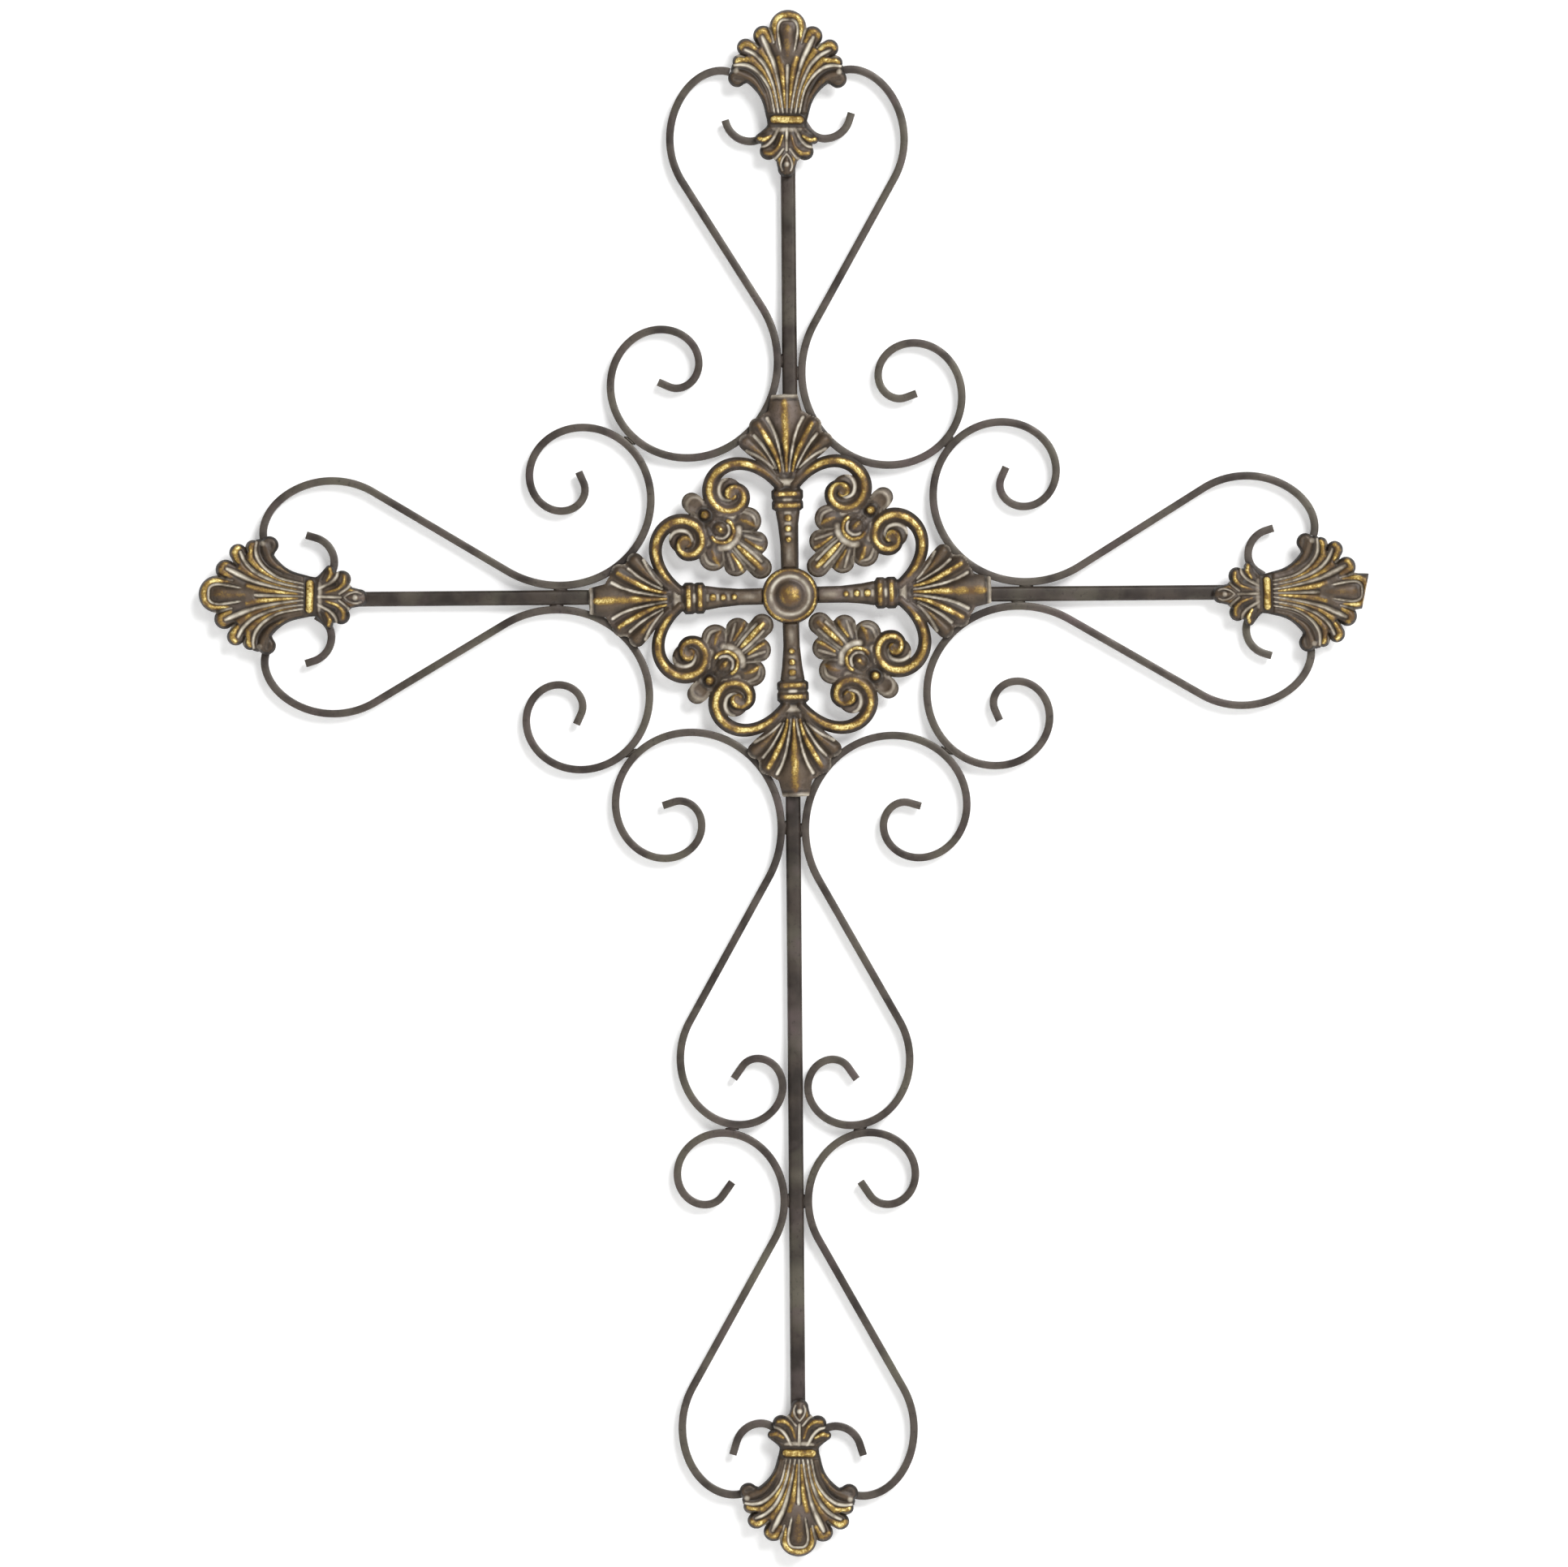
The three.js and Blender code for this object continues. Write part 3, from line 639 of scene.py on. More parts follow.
# Wash on the floor, dark patina and painted shade on the unwashed part of the floor, and a line of painted
# shade on the flanks, by the cut's half width.
FLOOR_WIDTH = 0.85
FLANK_AT = 1.5
FLANK_WIDTH = 0.45
FLANK_SPREAD = 0.2
FLANK_SHADE = 0.8


def groove(relief, places, pale=1.0):
    """Presses in a groove of (across, along, half width, depth), with pale wash on its floor, dark patina and
    painted shade where the floor is not washed, and painted shade along its flanks.
    """
    near, distance, (half, depth) = beside(relief.x, relief.z, smooth_line(places), GROOVE_REACH)
    full = np.clip(depth, 0, 1)
    relief.height[near] -= CUT_SHARE * depth * bell(distance, half)
    relief.height[near] -= DIP_SHARE * depth * bell(distance, DIP_WIDTH * half + DIP_SPREAD)
    floor = full * bell(distance, FLOOR_WIDTH * half, 3)
    flank = full * bell(distance - FLANK_AT * half, FLANK_WIDTH * half + FLANK_SPREAD)
    # painted shade: the unwashed floor, with its patina, and a line along each flank are darkened
    crease_patina_and_shade = np.maximum((1 - pale) * floor, FLANK_SHADE * flank)
    relief.at_least(near, pale=pale * floor, dark=crease_patina_and_shade)
    relief.gold[near] *= 1 - floor


# How much of a crest's or a knob's width is rubbed, and how far the gold hides the wash and the dark patina
# and painted shade.
CREST_RUBBED = 0.7
KNOB_RUBBED = 0.72
GOLD_OVER_WASH = 0.6
GOLD_OVER_DARK = 0.7


def crest(relief, places, gold=1.0, pale=0.0):
    """Raises a rounded crest of (across, along, half width, height added), rubbed with gold along its top."""
    near, distance, (half, added) = beside(relief.x, relief.z, smooth_line(places), CREST_REACH)
    relief.height[near] += added * np.clip(1 - (distance / half) ** 2, 0, 1)
    rub = bell(distance, CREST_RUBBED * half)
    relief.pale[near] *= 1 - GOLD_OVER_WASH * gold * rub
    relief.dark[near] *= 1 - GOLD_OVER_DARK * gold * rub
    relief.at_least(near, gold=gold * rub, pale=pale * rub)


ARC_STEP = 13


def ring(middle, radius, half, added, first, last):
    """Places round an arc, with its angles from the way inward in degrees."""
    around = np.radians(np.linspace(first, last, max(3, round((last - first) / ARC_STEP))))
    return [(radius * math.sin(a), middle - radius * math.cos(a), half, added) for a in around]


def knob(relief, x, z, radius, added, gold=0.0, pale=0.0):
    """Raises a round knob, or presses in a hollow where the height added is less than 0."""
    distance = np.hypot(relief.x - x, relief.z - z)
    relief.height += added * np.sqrt(np.clip(1 - (distance / radius) ** 2, 0, 1))
    rub = bell(distance, KNOB_RUBBED * radius, 4)
    relief.gold *= 1 - rub
    relief.pale *= 1 - rub
    relief.at_least(gold=gold * rub, pale=pale * rub)


def rounded(inside, roll):
    """Rises from 0 at the outline to 1 a roll's width inside it."""
    return np.sqrt(1 - (1 - np.clip(inside / roll, 0, 1)) ** 2)


def soften(field, cells):
    """Blurs a grid of values."""
    size = 2 * cells + 1
    for _ in range(2):
        for _ in range(2):
            sums = np.cumsum(np.pad(field, ((cells + 1, cells), (0, 0)), "edge"), 0)
            field = (sums[size:] - sums[:-size]) / size
        field = field.T
    return field


GOLD_LOW_DOWN = 0.6
GOLD_HIGH_UP = 0.8
GILT_OVER = 0.15
GILT_INSIDE = 1.5
# Painted shade: how dark the outline is made and over what width, and the slope under which no shade is
# painted.
EDGE_SHADE = 0.8
EDGE_SHADE_WIDTH = 1.5
SLOPE_UNSHADED = 0.3


def rub_gold_and_paint_shade(relief, cell, width, gilding):
    """Rubs gold on what stands out over that width, and paints shade dark on the slopes and along the edge.
    """
    lift = relief.height - soften(relief.height, max(1, round(width / cell)))
    relief.gold *= GOLD_LOW_DOWN + GOLD_HIGH_UP * np.clip(lift, 0, 1)
    relief.gold += gilding * np.clip(lift - GILT_OVER, 0, None) * (relief.inside > GILT_INSIDE)
    # painted shade: the steeper the slope, the darker, and the outline is darkened too
    slope = np.hypot(*np.gradient(relief.height, cell))
    edge = EDGE_SHADE * bell(relief.inside, EDGE_SHADE_WIDTH)
    relief.at_least(dark=np.maximum(soften(slope, 1) - SLOPE_UNSHADED, edge))
    for paint in PAINTS:
        setattr(relief, paint, np.clip(getattr(relief, paint), 0, 1))


LEAST_HEIGHT = SHEET + 0.1
LEAST_SLOPE = 0.3
EDGE_MOVE = 1.3
EDGE_HEIGHT = 0.35
SHEET_SMOOTH = math.radians(60)


def trim(piece, spare):
    """Deletes the faces that are marked as spare, and turns the others to the front."""
    select_parts(piece, "FACE", lambda face: spare[face.index])
    bpy.ops.mesh.delete(type="FACE")
    bpy.ops.mesh.select_all(action="SELECT")
    bpy.ops.mesh.normals_make_consistent(inside=False)
    mode("OBJECT")
    if sum(face.normal.y for face in piece.data.polygons) > 0:
        piece.data.flip_normals()


def thicken(piece):
    """Gives a pressed sheet its thickness, with bare metal behind."""
    count = len(piece.data.vertices)
    thick = piece.modifiers.new("sheet", "SOLIDIFY")
    thick.thickness = SHEET * MM
    thick.offset = -1
    bpy.ops.object.modifier_apply(modifier=thick.name)
    for paint in PAINTS:
        layer = piece.data.attributes[paint]
        share = np.empty(len(piece.data.vertices), np.float32)
        layer.data.foreach_get("value", share)
        share[count:] = 0
        layer.data.foreach_set("value", share)
    bpy.ops.object.shade_smooth_by_angle(angle=SHEET_SMOOTH)


def pressed_sheet(name, low, high, cell, shape):
    """A flat grid pressed to a relief, trimmed to its outline and given the thickness of the sheet."""
    columns = round((high[0] - low[0]) / cell)
    rows = round((high[1] - low[1]) / cell)
    deselect_all()
    bpy.ops.mesh.primitive_grid_add(x_subdivisions=columns, y_subdivisions=rows, size=2)
    piece = bpy.context.object
    piece.name = name
    mesh = piece.data
    flat = np.empty(len(mesh.vertices) * 3)
    mesh.vertices.foreach_get("co", flat)
    flat = flat.reshape(rows + 1, columns + 1, 3)
    x = low[0] + (flat[..., 0] + 1) / 2 * (high[0] - low[0])
    z = low[1] + (flat[..., 1] + 1) / 2 * (high[1] - low[1])
    relief = shape(x, z)

    # the cells that are whole, and the outermost places, which move out to the true outline
    keep = relief.inside > 0
    whole = keep[:-1, :-1] & keep[1:, :-1] & keep[:-1, 1:] & keep[1:, 1:]
    touched = np.zeros(keep.shape, bool)
    edge = np.zeros(keep.shape, bool)
    for dz in (0, 1):
        for dx in (0, 1):
            corner = (slice(dz, dz + rows), slice(dx, dx + columns))
            touched[corner] |= whole
            edge[corner] |= ~whole
    edge &= touched
    slope_z, slope_x = np.gradient(relief.inside, cell)
    steep = np.maximum(slope_x**2 + slope_z**2, LEAST_SLOPE)
    push = np.where(edge, np.clip(relief.inside, 0, EDGE_MOVE * cell) / steep, 0)
    rolled = relief.height * EDGE_HEIGHT + RIM * (1 - EDGE_HEIGHT)
    height = np.where(edge, rolled, relief.height)
    front = -(PRESSING_BACK + np.maximum(height, LEAST_HEIGHT))
    places = np.stack([x - push * slope_x, front, z - push * slope_z], -1) * MM
    mesh.vertices.foreach_set("co", places.astype(np.float32).ravel())
    for paint in PAINTS:
        layer = mesh.attributes.new(paint, "FLOAT", "POINT")
        layer.data.foreach_set("value", getattr(relief, paint).astype(np.float32).ravel())

    corners = np.empty(len(mesh.loops), np.int32)
    mesh.loops.foreach_get("vertex_index", corners)
    first = corners.reshape(-1, 4).min(1)
    trim(piece, ~whole[first // (columns + 1), first % (columns + 1)])
    thicken(piece)
    return piece


FINIAL_LOW = (-36, -36)
FINIAL_HIGH = (36, 68)
FINIAL_CELL = 0.5
FINIAL_ROLL = 3.4
FINIAL_RISE = 4.4
FINIAL_DARK = 0.2
FINIAL_GILDING = 0.25
FINIAL_STANDS_OUT = 1.6
# Lobes of the palmette as (across, along, half width), with along measured from the collar.
PALMETTE_LOBES = [
    [(0, 2, 1.6), (0, 22, 2.6), (0, 36, 4.8), (0, 48, 9.2), (0, 54.8, 11)],
    [(2.9, 2, 1.5), (4.8, 22, 2.2), (8.4, 36, 3.6), (12, 45, 5.2), (14.5, 50.3, 6)],
    [(5.6, 2, 1.5), (8, 20, 2.1), (13, 33, 3.2), (19.6, 40.6, 4.6), (24.8, 43.4, 5.2)],
    [(8.2, 2, 1.5), (10.6, 16, 2.1), (15.4, 26, 2.8), (22, 32.4, 3.8), (28, 34.8, 4.5)],
    [(10.5, 2, 1.7), (12.6, 12, 2.3), (15.8, 19.4, 3.4), (21.6, 25.4, 3.9), (25.6, 26.2, 4.4),
     (29.6, 25.2, 5.4)],
]
NECK = (
    (-2, 2, 8, 12, 16, 20, 24, 26, 28, 30.5, 33, 36, 38, 42, 48, 54),
    (11.6, 12.1, 12.2, 13, 14.5, 17, 21, 28, 33, 33.4, 32.8, 30, 26, 19.5, 14, 6),
)
# Flutes between the ribs as (across, along, half width, depth).
FLUTES = [
    [(0, 4.6, 0.45, 1.0), (0, 14, 0.6, 1.9), (0, 24, 0.9, 2.4), (0, 31.6, 1.1, 2.2), (0, 33.4, 0.5, 0.3)],
    [(2.3, 4.6, 0.5, 1.2), (3.9, 15, 0.75, 2.2), (6.2, 26, 1.05, 2.7), (8.8, 35.5, 1.35, 2.9),
     (11.6, 42, 1.5, 2.9), (13.8, 46.8, 1.4, 2.5), (15, 49.4, 1.0, 1.3)],
    [(5, 4.6, 0.5, 1.2), (7, 16, 0.75, 2.2), (9.6, 24.5, 1.0, 2.6), (13.2, 32.4, 1.2, 2.8),
     (17.2, 37.2, 1.2, 2.8), (21, 40, 1.1, 2.5), (25, 41.8, 0.9, 1.6)],
    [(7.4, 4.6, 0.5, 1.2), (9.9, 17, 0.7, 2.1), (13, 23.4, 0.9, 2.4), (17.3, 28.7, 1.0, 2.6),
     (22.2, 32, 1.1, 2.6), (26.8, 33, 1.0, 2.2), (31.2, 32.6, 0.8, 1.2)],
    [(0, 59.9, 0.8, 2.4), (3.3, 59.5, 0.8, 2.4), (5.3, 57.4, 0.8, 2.6), (5.9, 53.5, 0.8, 2.6),
     (5.1, 47.4, 0.75, 2.2), (4.3, 43, 0.6, 1.2), (3.9, 40.6, 0.4, 0.2)],
]
# Creases as (share of pale wash, places): in from the notches between the lobes, and along the wings.
CREASES = [
    (0, [(0, 57, 1.2, 0.7), (3, 56.6, 1.1, 0.6)]),
    (0.6, [(11.4, 57, 1.3, 2.2), (9.4, 51, 0.9, 2), (8.2, 46, 0.6, 0.9)]),
    (0.55, [(20.8, 47.4, 1.2, 1.8), (17.6, 43.6, 0.8, 1.4)]),
    (0.5, [(30.2, 38.8, 1.1, 1.6), (25.6, 37.4, 0.7, 1.2)]),
    (0, [(33, 30.2, 0.7, 0.9), (25, 30, 0.9, 1.5), (18.4, 25.6, 0.8, 1.3), (13.4, 17, 0.6, 0.7)]),
    (0, [(31, 24.4, 1.2, 0.7), (26.6, 23.6, 1.2, 0.6)]),
]
# Ribs as (share of gold, places), from the hooped lobe and its tongue outward.
RIBS = [
    (0.45, [(0, 38, 2, 0.1), (0, 44, 3.2, 0.8), (0, 52, 3.8, 1.0), (0, 56, 2.8, 0.4)]),
    (0.8, [(1.3, 8, 0.9, 0.1), (2.2, 20, 1.6, 0.5), (3.3, 30, 2.2, 0.6), (5.2, 37, 2, 0.4)]),
    (0.55, [(3.6, 8, 0.9, 0.1), (6.9, 25, 1.7, 0.5), (11, 33.6, 2.4, 0.6), (16, 41, 2.6, 0.5)]),
    (0.55, [(6.2, 8, 0.9, 0.1), (9.4, 20, 1.6, 0.5), (14.6, 29, 2.4, 0.6), (21, 36, 2.6, 0.5)]),
    (0.6, [(10.4, 47.2, 2, 0.3), (14, 52.2, 2.8, 0.9), (17.8, 50.8, 2.2, 0.5)]),
    (0.75, [(18.8, 42.8, 2, 0.4), (23.8, 45, 2.6, 0.9), (27.6, 43.4, 2, 0.5)]),
    (0.6, [(22.4, 35.6, 2, 0.4), (26.6, 36, 2.4, 0.8), (29.8, 34.6, 1.8, 0.4)]),
    (0.15, [(14, 14, 1.6, 0.2), (19, 22.6, 2.2, 0.5), (28, 27.4, 2.4, 0.6)]),
]
HOOP_CREST = [(8, 48, 1.4, 0.1), (7.9, 54.8, 2.6, 0.9), (5.3, 60.3, 3, 1.0), (0, 62.2, 3, 1.0)]
SOLDER = (30.4, 29.2, 2.3, 0.5)
CALYX_LOBES = [
    [(0, -2, 1.6), (0, -14, 2.4), (0, -22, 6), (0, -28, 5.2)],
    [(3.4, -2, 1.6), (4.8, -10, 3.2), (7.8, -16, 4.8), (10.8, -17.9, 5.1)],
    [(8, -1.6, 2.6), (10.2, -5.6, 3), (13.2, -8.6, 3.2), (15.8, -10.4, 3)],
]
CALYX = (
    (-30, -27, -24, -22, -20, -18, -15.5, -13.6, -12, -8, -4, -2),
    (3.6, 5, 6, 8, 12, 14.6, 15, 15.2, 16.6, 16, 12.2, 11.6),
)
CALYX_CREASES = [
    (1, [(0, -3.6, 1, 1.6), (0, -12, 0.8, 2), (0, -17.4, 0.7, 1.6)]),
    (0.9, [(0, -4.8, 1.6, 0.6), (4, -5.2, 1.5, 0.6), (8, -4.8, 1.2, 0.4)]),
    (0.8, [(4.6, -4, 1, 1.2), (8.4, -11, 1, 1.8), (12, -14.6, 1, 1.9), (15.4, -15.4, 0.8, 1.2)]),
    (0.7, [(2, -16.6, 0.7, 1.2), (5.8, -21.6, 0.9, 2), (9.2, -23, 0.8, 1.4)]),
    (0, [(6, -8, 1.6, 0.8), (7.6, -13.6, 1.7, 1.0)]),
    (0, [(10, -6, 0.9, 0.9), (15, -8.4, 0.9, 0.8)]),
    (0.75, [(0, -19.6, 0.6, 1), (2.4, -22.6, 0.6, 1), (3.4, -26.4, 0.6, 1), (2.4, -29.4, 0.5, 0.8)]),
]
CALYX_RIBS = [
    (0.65, [(2.6, -9, 0.9, 0.4), (4.8, -15.4, 1.3, 0.8), (8.6, -19, 1.7, 1), (12.4, -19, 1.3, 0.5)]),
    (0.85, [(9.4, -9, 1, 0.4), (13.4, -11.2, 1.6, 0.9), (17, -10.8, 1.1, 0.4)]),
    (0.25, [(3, -20.4, 1.2, 0.3), (4.4, -23.2, 1.7, 0.8), (3.8, -26.4, 1.2, 0.3)]),
]
DROP = [(0, -20, 1.2, 0.3), (0, -24, 2, 1), (0, -27.6, 2.6, 1.2), (0, -29, 1.6, 0.6)]
DROP_SHINE = (0, -25.8, 2.1, 0.6)
COLLAR_MIDDLE = 0.3
COLLAR_HALF = 4.2
COLLAR_ACROSS = 12.4
COLLAR_RISE = 2.8
COLLAR_ROLL = 2.6
COLLAR_SHADE = 0.75
# The band is whole in the middle and falls away at its two edges.
COLLAR_WHOLE = 1.25
COLLAR_FALL = 0.6
# The gilt bar's half length, place along, half width and rise.
COLLAR_BAR = (7.4, 0.7, 2.7, 2.4)
COLLAR_GILT = 0.85


def add_collar(relief):
    """Lays the collar over a palmette: a band painted dark as shade round a gilt bar across it."""
    from_middle = np.abs((relief.z - COLLAR_MIDDLE) / COLLAR_HALF)
    band = np.clip(COLLAR_WHOLE - COLLAR_FALL * from_middle**6, 0, 1) * (relief.x < COLLAR_ACROSS)
    relief.height += band * (RIM + COLLAR_RISE * rounded(relief.inside, COLLAR_ROLL) - relief.height)
    relief.gold *= 1 - band
    relief.pale *= 1 - band
    # painted shade: the band is darkened round the gilt bar
    relief.at_least(dark=COLLAR_SHADE * band)
    half_length, along, half, rise = COLLAR_BAR
    from_bar = np.hypot(np.clip(relief.x - half_length, 0, None), relief.z - along) / half
    relief.height += rise * arched(from_bar)
    relief.at_least(gold=bell(from_bar, COLLAR_GILT, 6))


# The tip that is folded back: its lobe, the fold's place and slant, and the height left at the fold.
FOLDED_LOBE = [(0, 54, 10.8), (0, 62, 10.4)]
FOLD_HEIGHT = 62
FOLD_TILT = math.radians(13)
FOLD_ROLL = 1
FOLD_LEFT = 0.6


def palmette(folded, gilt, wash):
    """The shape of a finial, with its shares of gold and wash."""

    def shape(x, z):
        across = np.abs(x)
        relief = Relief(across, z)
        for places in PALMETTE_LOBES + CALYX_LOBES:
            lobe(relief, places)
        if folded:
            lobe(relief, FOLDED_LOBE)
        neck = half_width(z, *NECK) - across
        calyx = half_width(z, *CALYX) - across
        relief.at_least(inside=np.maximum(neck, calyx))
        relief.height = RIM + FINIAL_RISE * rounded(relief.inside, FINIAL_ROLL)
        crest(relief, HOOP_CREST, gold=0.8)
        for places in FLUTES:
            groove(relief, places)
        for pale, places in CREASES + CALYX_CREASES:
            groove(relief, places, pale)
        for gold, places in RIBS + CALYX_RIBS:
            crest(relief, places, gold)
        crest(relief, DROP, gold=0.1)
        knob(relief, *DROP_SHINE, pale=0.8)
        knob(relief, *SOLDER, pale=0.5)
        add_collar(relief)
        if folded:
            fold = (FOLD_HEIGHT - z - math.tan(FOLD_TILT) * x) * math.cos(FOLD_TILT)
            relief.height *= FOLD_LEFT + (1 - FOLD_LEFT) * rounded(fold, FOLD_ROLL)
            relief.inside = np.minimum(relief.inside, fold)
        relief.gold *= gilt
        relief.pale *= wash
        relief.at_least(dark=FINIAL_DARK)
        rub_gold_and_paint_shade(relief, FINIAL_CELL, FINIAL_STANDS_OUT, FINIAL_GILDING * gilt)
        return relief

    return shape


BRONZE_BLACK = colour_of(26, 18, 9)
BRONZE_DARK = colour_of(58, 46, 34)
BRONZE_BROWN = colour_of(86, 71, 55)
BRONZE_PURPLE = colour_of(112, 98, 90)
GOLD_BURNT = colour_of(92, 66, 32)
GOLD = colour_of(172, 140, 64)
GOLD_HIGHLIGHT = colour_of(246, 228, 156)
WASH_THIN = colour_of(146, 136, 121)
WASH_THICK = colour_of(213, 207, 192)
BRONZE_PATCHES = [
    (90, 3, 0.42, 0.68, BRONZE_DARK),
    (46, 3, 0.5, 0.72, BRONZE_PURPLE),
    (620, 4, 0.55, 0.8, BRONZE_DARK),
]
BRONZE_PITS = (700, 0.3)
BRONZE_ROUGH = 0.52
GOLD_ROUGH = 0.36
BRONZE_GLOSS = 0.45

bronze, tree, shader = shader_of("rubbed_bronze")
place = add_node(tree, "ShaderNodeTexCoord").outputs["Object"]
gold, pale, dark = (
    add_node(tree, "ShaderNodeAttribute", attribute_name=paint).outputs["Fac"] for paint in PAINTS
)
colour = mottle(tree, place, BRONZE_BROWN, BRONZE_PATCHES)
# The dark layer, patina with painted shade, tints the bronze towards black in patches.
patina_and_shade_share = times(tree, dark, ramp(tree, grain(tree, place, 160), 0.05, 0.5))
colour = tint(tree, patina_and_shade_share, colour, BRONZE_BLACK)
speckled = ramp(tree, grain(tree, place, 850, 4), 0.05, 0.7)
colour = tint(tree, ramp(tree, times(tree, gold, speckled), 0.06, 0.4), colour, GOLD_BURNT)
patchy = ramp(tree, grain(tree, place, 150, 2), 0.24, 0.66)
rub_and_highlight = times(tree, times(tree, gold, patchy), speckled)
colour = tint(tree, ramp(tree, rub_and_highlight, 0.12, 0.5), colour, GOLD)
# painted highlight: where the gold is rubbed most it is made pale yellow, as if catching the light
colour = tint(tree, ramp(tree, rub_and_highlight, 0.38, 0.72), colour, GOLD_HIGHLIGHT)
washed = times(tree, pale, ramp(tree, grain(tree, place, 150, 5), 0.18, 0.62))
colour = tint(tree, ramp(tree, washed, 0.04, 0.4), colour, WASH_THIN)
colour = tint(tree, ramp(tree, washed, 0.36, 0.95), colour, WASH_THICK)
tree.links.new(colour, shader.inputs["Base Color"])
tree.links.new(ramp(tree, rub_and_highlight, -0.1, 1.6), shader.inputs["Metallic"])
roughness = {"Value": rub_and_highlight, "To Min": BRONZE_ROUGH, "To Max": GOLD_ROUGH}
tree.links.new(add_node(tree, "ShaderNodeMapRange", roughness).outputs["Result"], shader.inputs["Roughness"])
shader.inputs["Specular IOR Level"].default_value = BRONZE_GLOSS
pit(tree, shader, place, *BRONZE_PITS)

# Arm, distance of the collar along it, offset, lean in degrees, stretch along the arm, whether the tip is
# folded back, and shares of gold and wash.
FINIALS = {
    "finial_top": ("top", 280, -0.4, -1, 1, False, 1, 1),
    "finial_left": ("left", 283.5, 1.6, -2, 1.01, False, 0.9, 0.95),
    "finial_right": ("right", 280, 1, 1, 0.95, True, 0.85, 0.68),
    "finial_bottom": ("bottom", 505.5, -0.5, -1.1, 0.94, False, 1, 1.15),
}
for name, (arm, collar, aside, lean, stretch, folded, gilt, wash) in FINIALS.items():
    shape = palmette(folded, gilt, wash)
    piece = pressed_sheet(name + "_palmette", FINIAL_LOW, FINIAL_HIGH, FINIAL_CELL, shape)
    piece.data.transform(
        Matrix.Rotation(math.radians(-ARMS[arm][2]), 4, "Y")
        @ Matrix.Translation((aside * MM, 0, collar * MM))
        @ Matrix.Rotation(math.radians(-lean), 4, "Y")
        @ Matrix.Diagonal((1, 1, stretch, 1))
    )
    wear(piece, name, bronze)

# The medallion: one openwork pressing over the crossing, with a round boss, four baluster arms that end in
# fans, a pair of volutes on each arm and a leaf on each diagonal. It has the same finish as the finials.
MEDALLION_LOW = (-120, -120)
MEDALLION_HIGH = (120, 120)
MEDALLION_CELL = 0.7
MEDALLION_TURN = 1.2
MEDALLION_ASIDE = -0.8
MEDALLION_GILDING = 0.2
MEDALLION_STANDS_OUT = 1.8
BOSS_RADIUS = (0, 2, 4, 6, 7.6, 8.6, 10.2, 11.2, 12.6, 13.6, 15, 16, 16.8)
BOSS_HEIGHT = (8.6, 8.4, 7.9, 7, 6, 4.5, 4.3, 4.9, 4.7, 5.2, 6.2, 5, RIM)
# Gold on the boss's dome and hoop, and the wash between them, as (share, radius, half width).
BOSS_DOME = (0.8, 0, 5.8)
BOSS_HOOP = (0.45, 15, 0.8)
BOSS_WASH = (0.8, 11.3, 1)
# The arm is given by distances along it from the crossing, and by places of (across, along, ...).
BALUSTER = (
    (12, 30, 42, 50, 51.2, 55, 56.4, 57.8, 62, 63.2, 68, 74, 76),
    (4.9, 4.9, 6, 7.3, 9.3, 9.3, 8.6, 9.4, 9.4, 8, 6.4, 4.4, 2),
)
ARM_RISE = 3.4
ARM_ROLL = 3.2
RINGS = (53.1, 59.9)
RING_RISE = 1.5
RING_HALF = 2.4
RING_ACROSS = 10
RING_GILT_ALONG = 1.2
RING_GILT_ACROSS = 5.2
BEADS = ((33, 1.9), (39.4, 2.2), (45.6, 2.5))
BEAD_RISE = 2.1
# Wash on the baluster as (share, along, half length, half width, power of its fall across).
BALUSTER_WASH = [
    (1, 56.5, 0.8, 2.6, 4),
    (0.7, 36.3, 0.9, 2, 4),
    (0.7, 42.6, 0.9, 2, 4),
    (0.7, 48.6, 0.9, 2, 4),
    (0.4, 24, 4.6, 1.7, 2),
]
ARM_CREASES = [
    (0.1, [(0, 56.5, 0.7, 0.8), (8, 56.5, 0.7, 0.8)]),
    (0, [(0, 63.9, 0.9, 1.4), (8, 63.6, 0.9, 1.4)]),
    (0.6, [(0, 66.8, 2, 1), (7, 66.4, 2, 1)]),
    (0, [(0, 50, 0.7, 0.7), (7, 50, 0.7, 0.7)]),
    (0, [(0, 71.4, 1.5, 1.6), (1.6, 71.8, 1, 1)]),
    (1, [(1.6, 73, 0.5, 0.6), (2.4, 79, 0.65, 1), (4.5, 90, 0.75, 1.1), (5.9, 95, 0.8, 1.1),
         (7.8, 100, 0.9, 1.1), (10.6, 105, 1, 1)]),
    (0.9, [(5.7, 75, 0.5, 0.8), (8.2, 80, 0.6, 1), (11.1, 85, 0.7, 1.1), (14.3, 90, 0.8, 1.1),
           (18.5, 95, 0.9, 1)]),
    (0.8, [(7.8, 75.4, 0.6, 1.2), (12.6, 79.7, 0.7, 1.8), (17.6, 83.2, 0.8, 2), (23.4, 86.2, 0.8, 1.6)]),
    (0, [(5.4, 78.6, 0.8, 0.5), (8.4, 84.4, 1, 0.9), (11.4, 89.2, 1.1, 0.9), (15, 95.4, 1.2, 0.9),
         (18, 99.6, 1, 0.6)]),
    (0, [(0, 116.2, 0.7, 1.4), (7, 116, 0.7, 1.2)]),
]
FAN_RISE = 4
FAN_WEB_RISE = 1
FAN_WEB_ROLL = 2
FAN_LOBES = [
    [(3.4, 71, 1.5), (5, 79, 2.2), (7.4, 85, 3.2), (10.2, 90, 4.2), (14, 96, 5), (16.4, 100.4, 5)],
    [(6, 71, 1.5), (10.4, 77.4, 2.6), (15, 83, 3.9), (19.8, 87.8, 4.7), (23, 91, 4.8)],
]
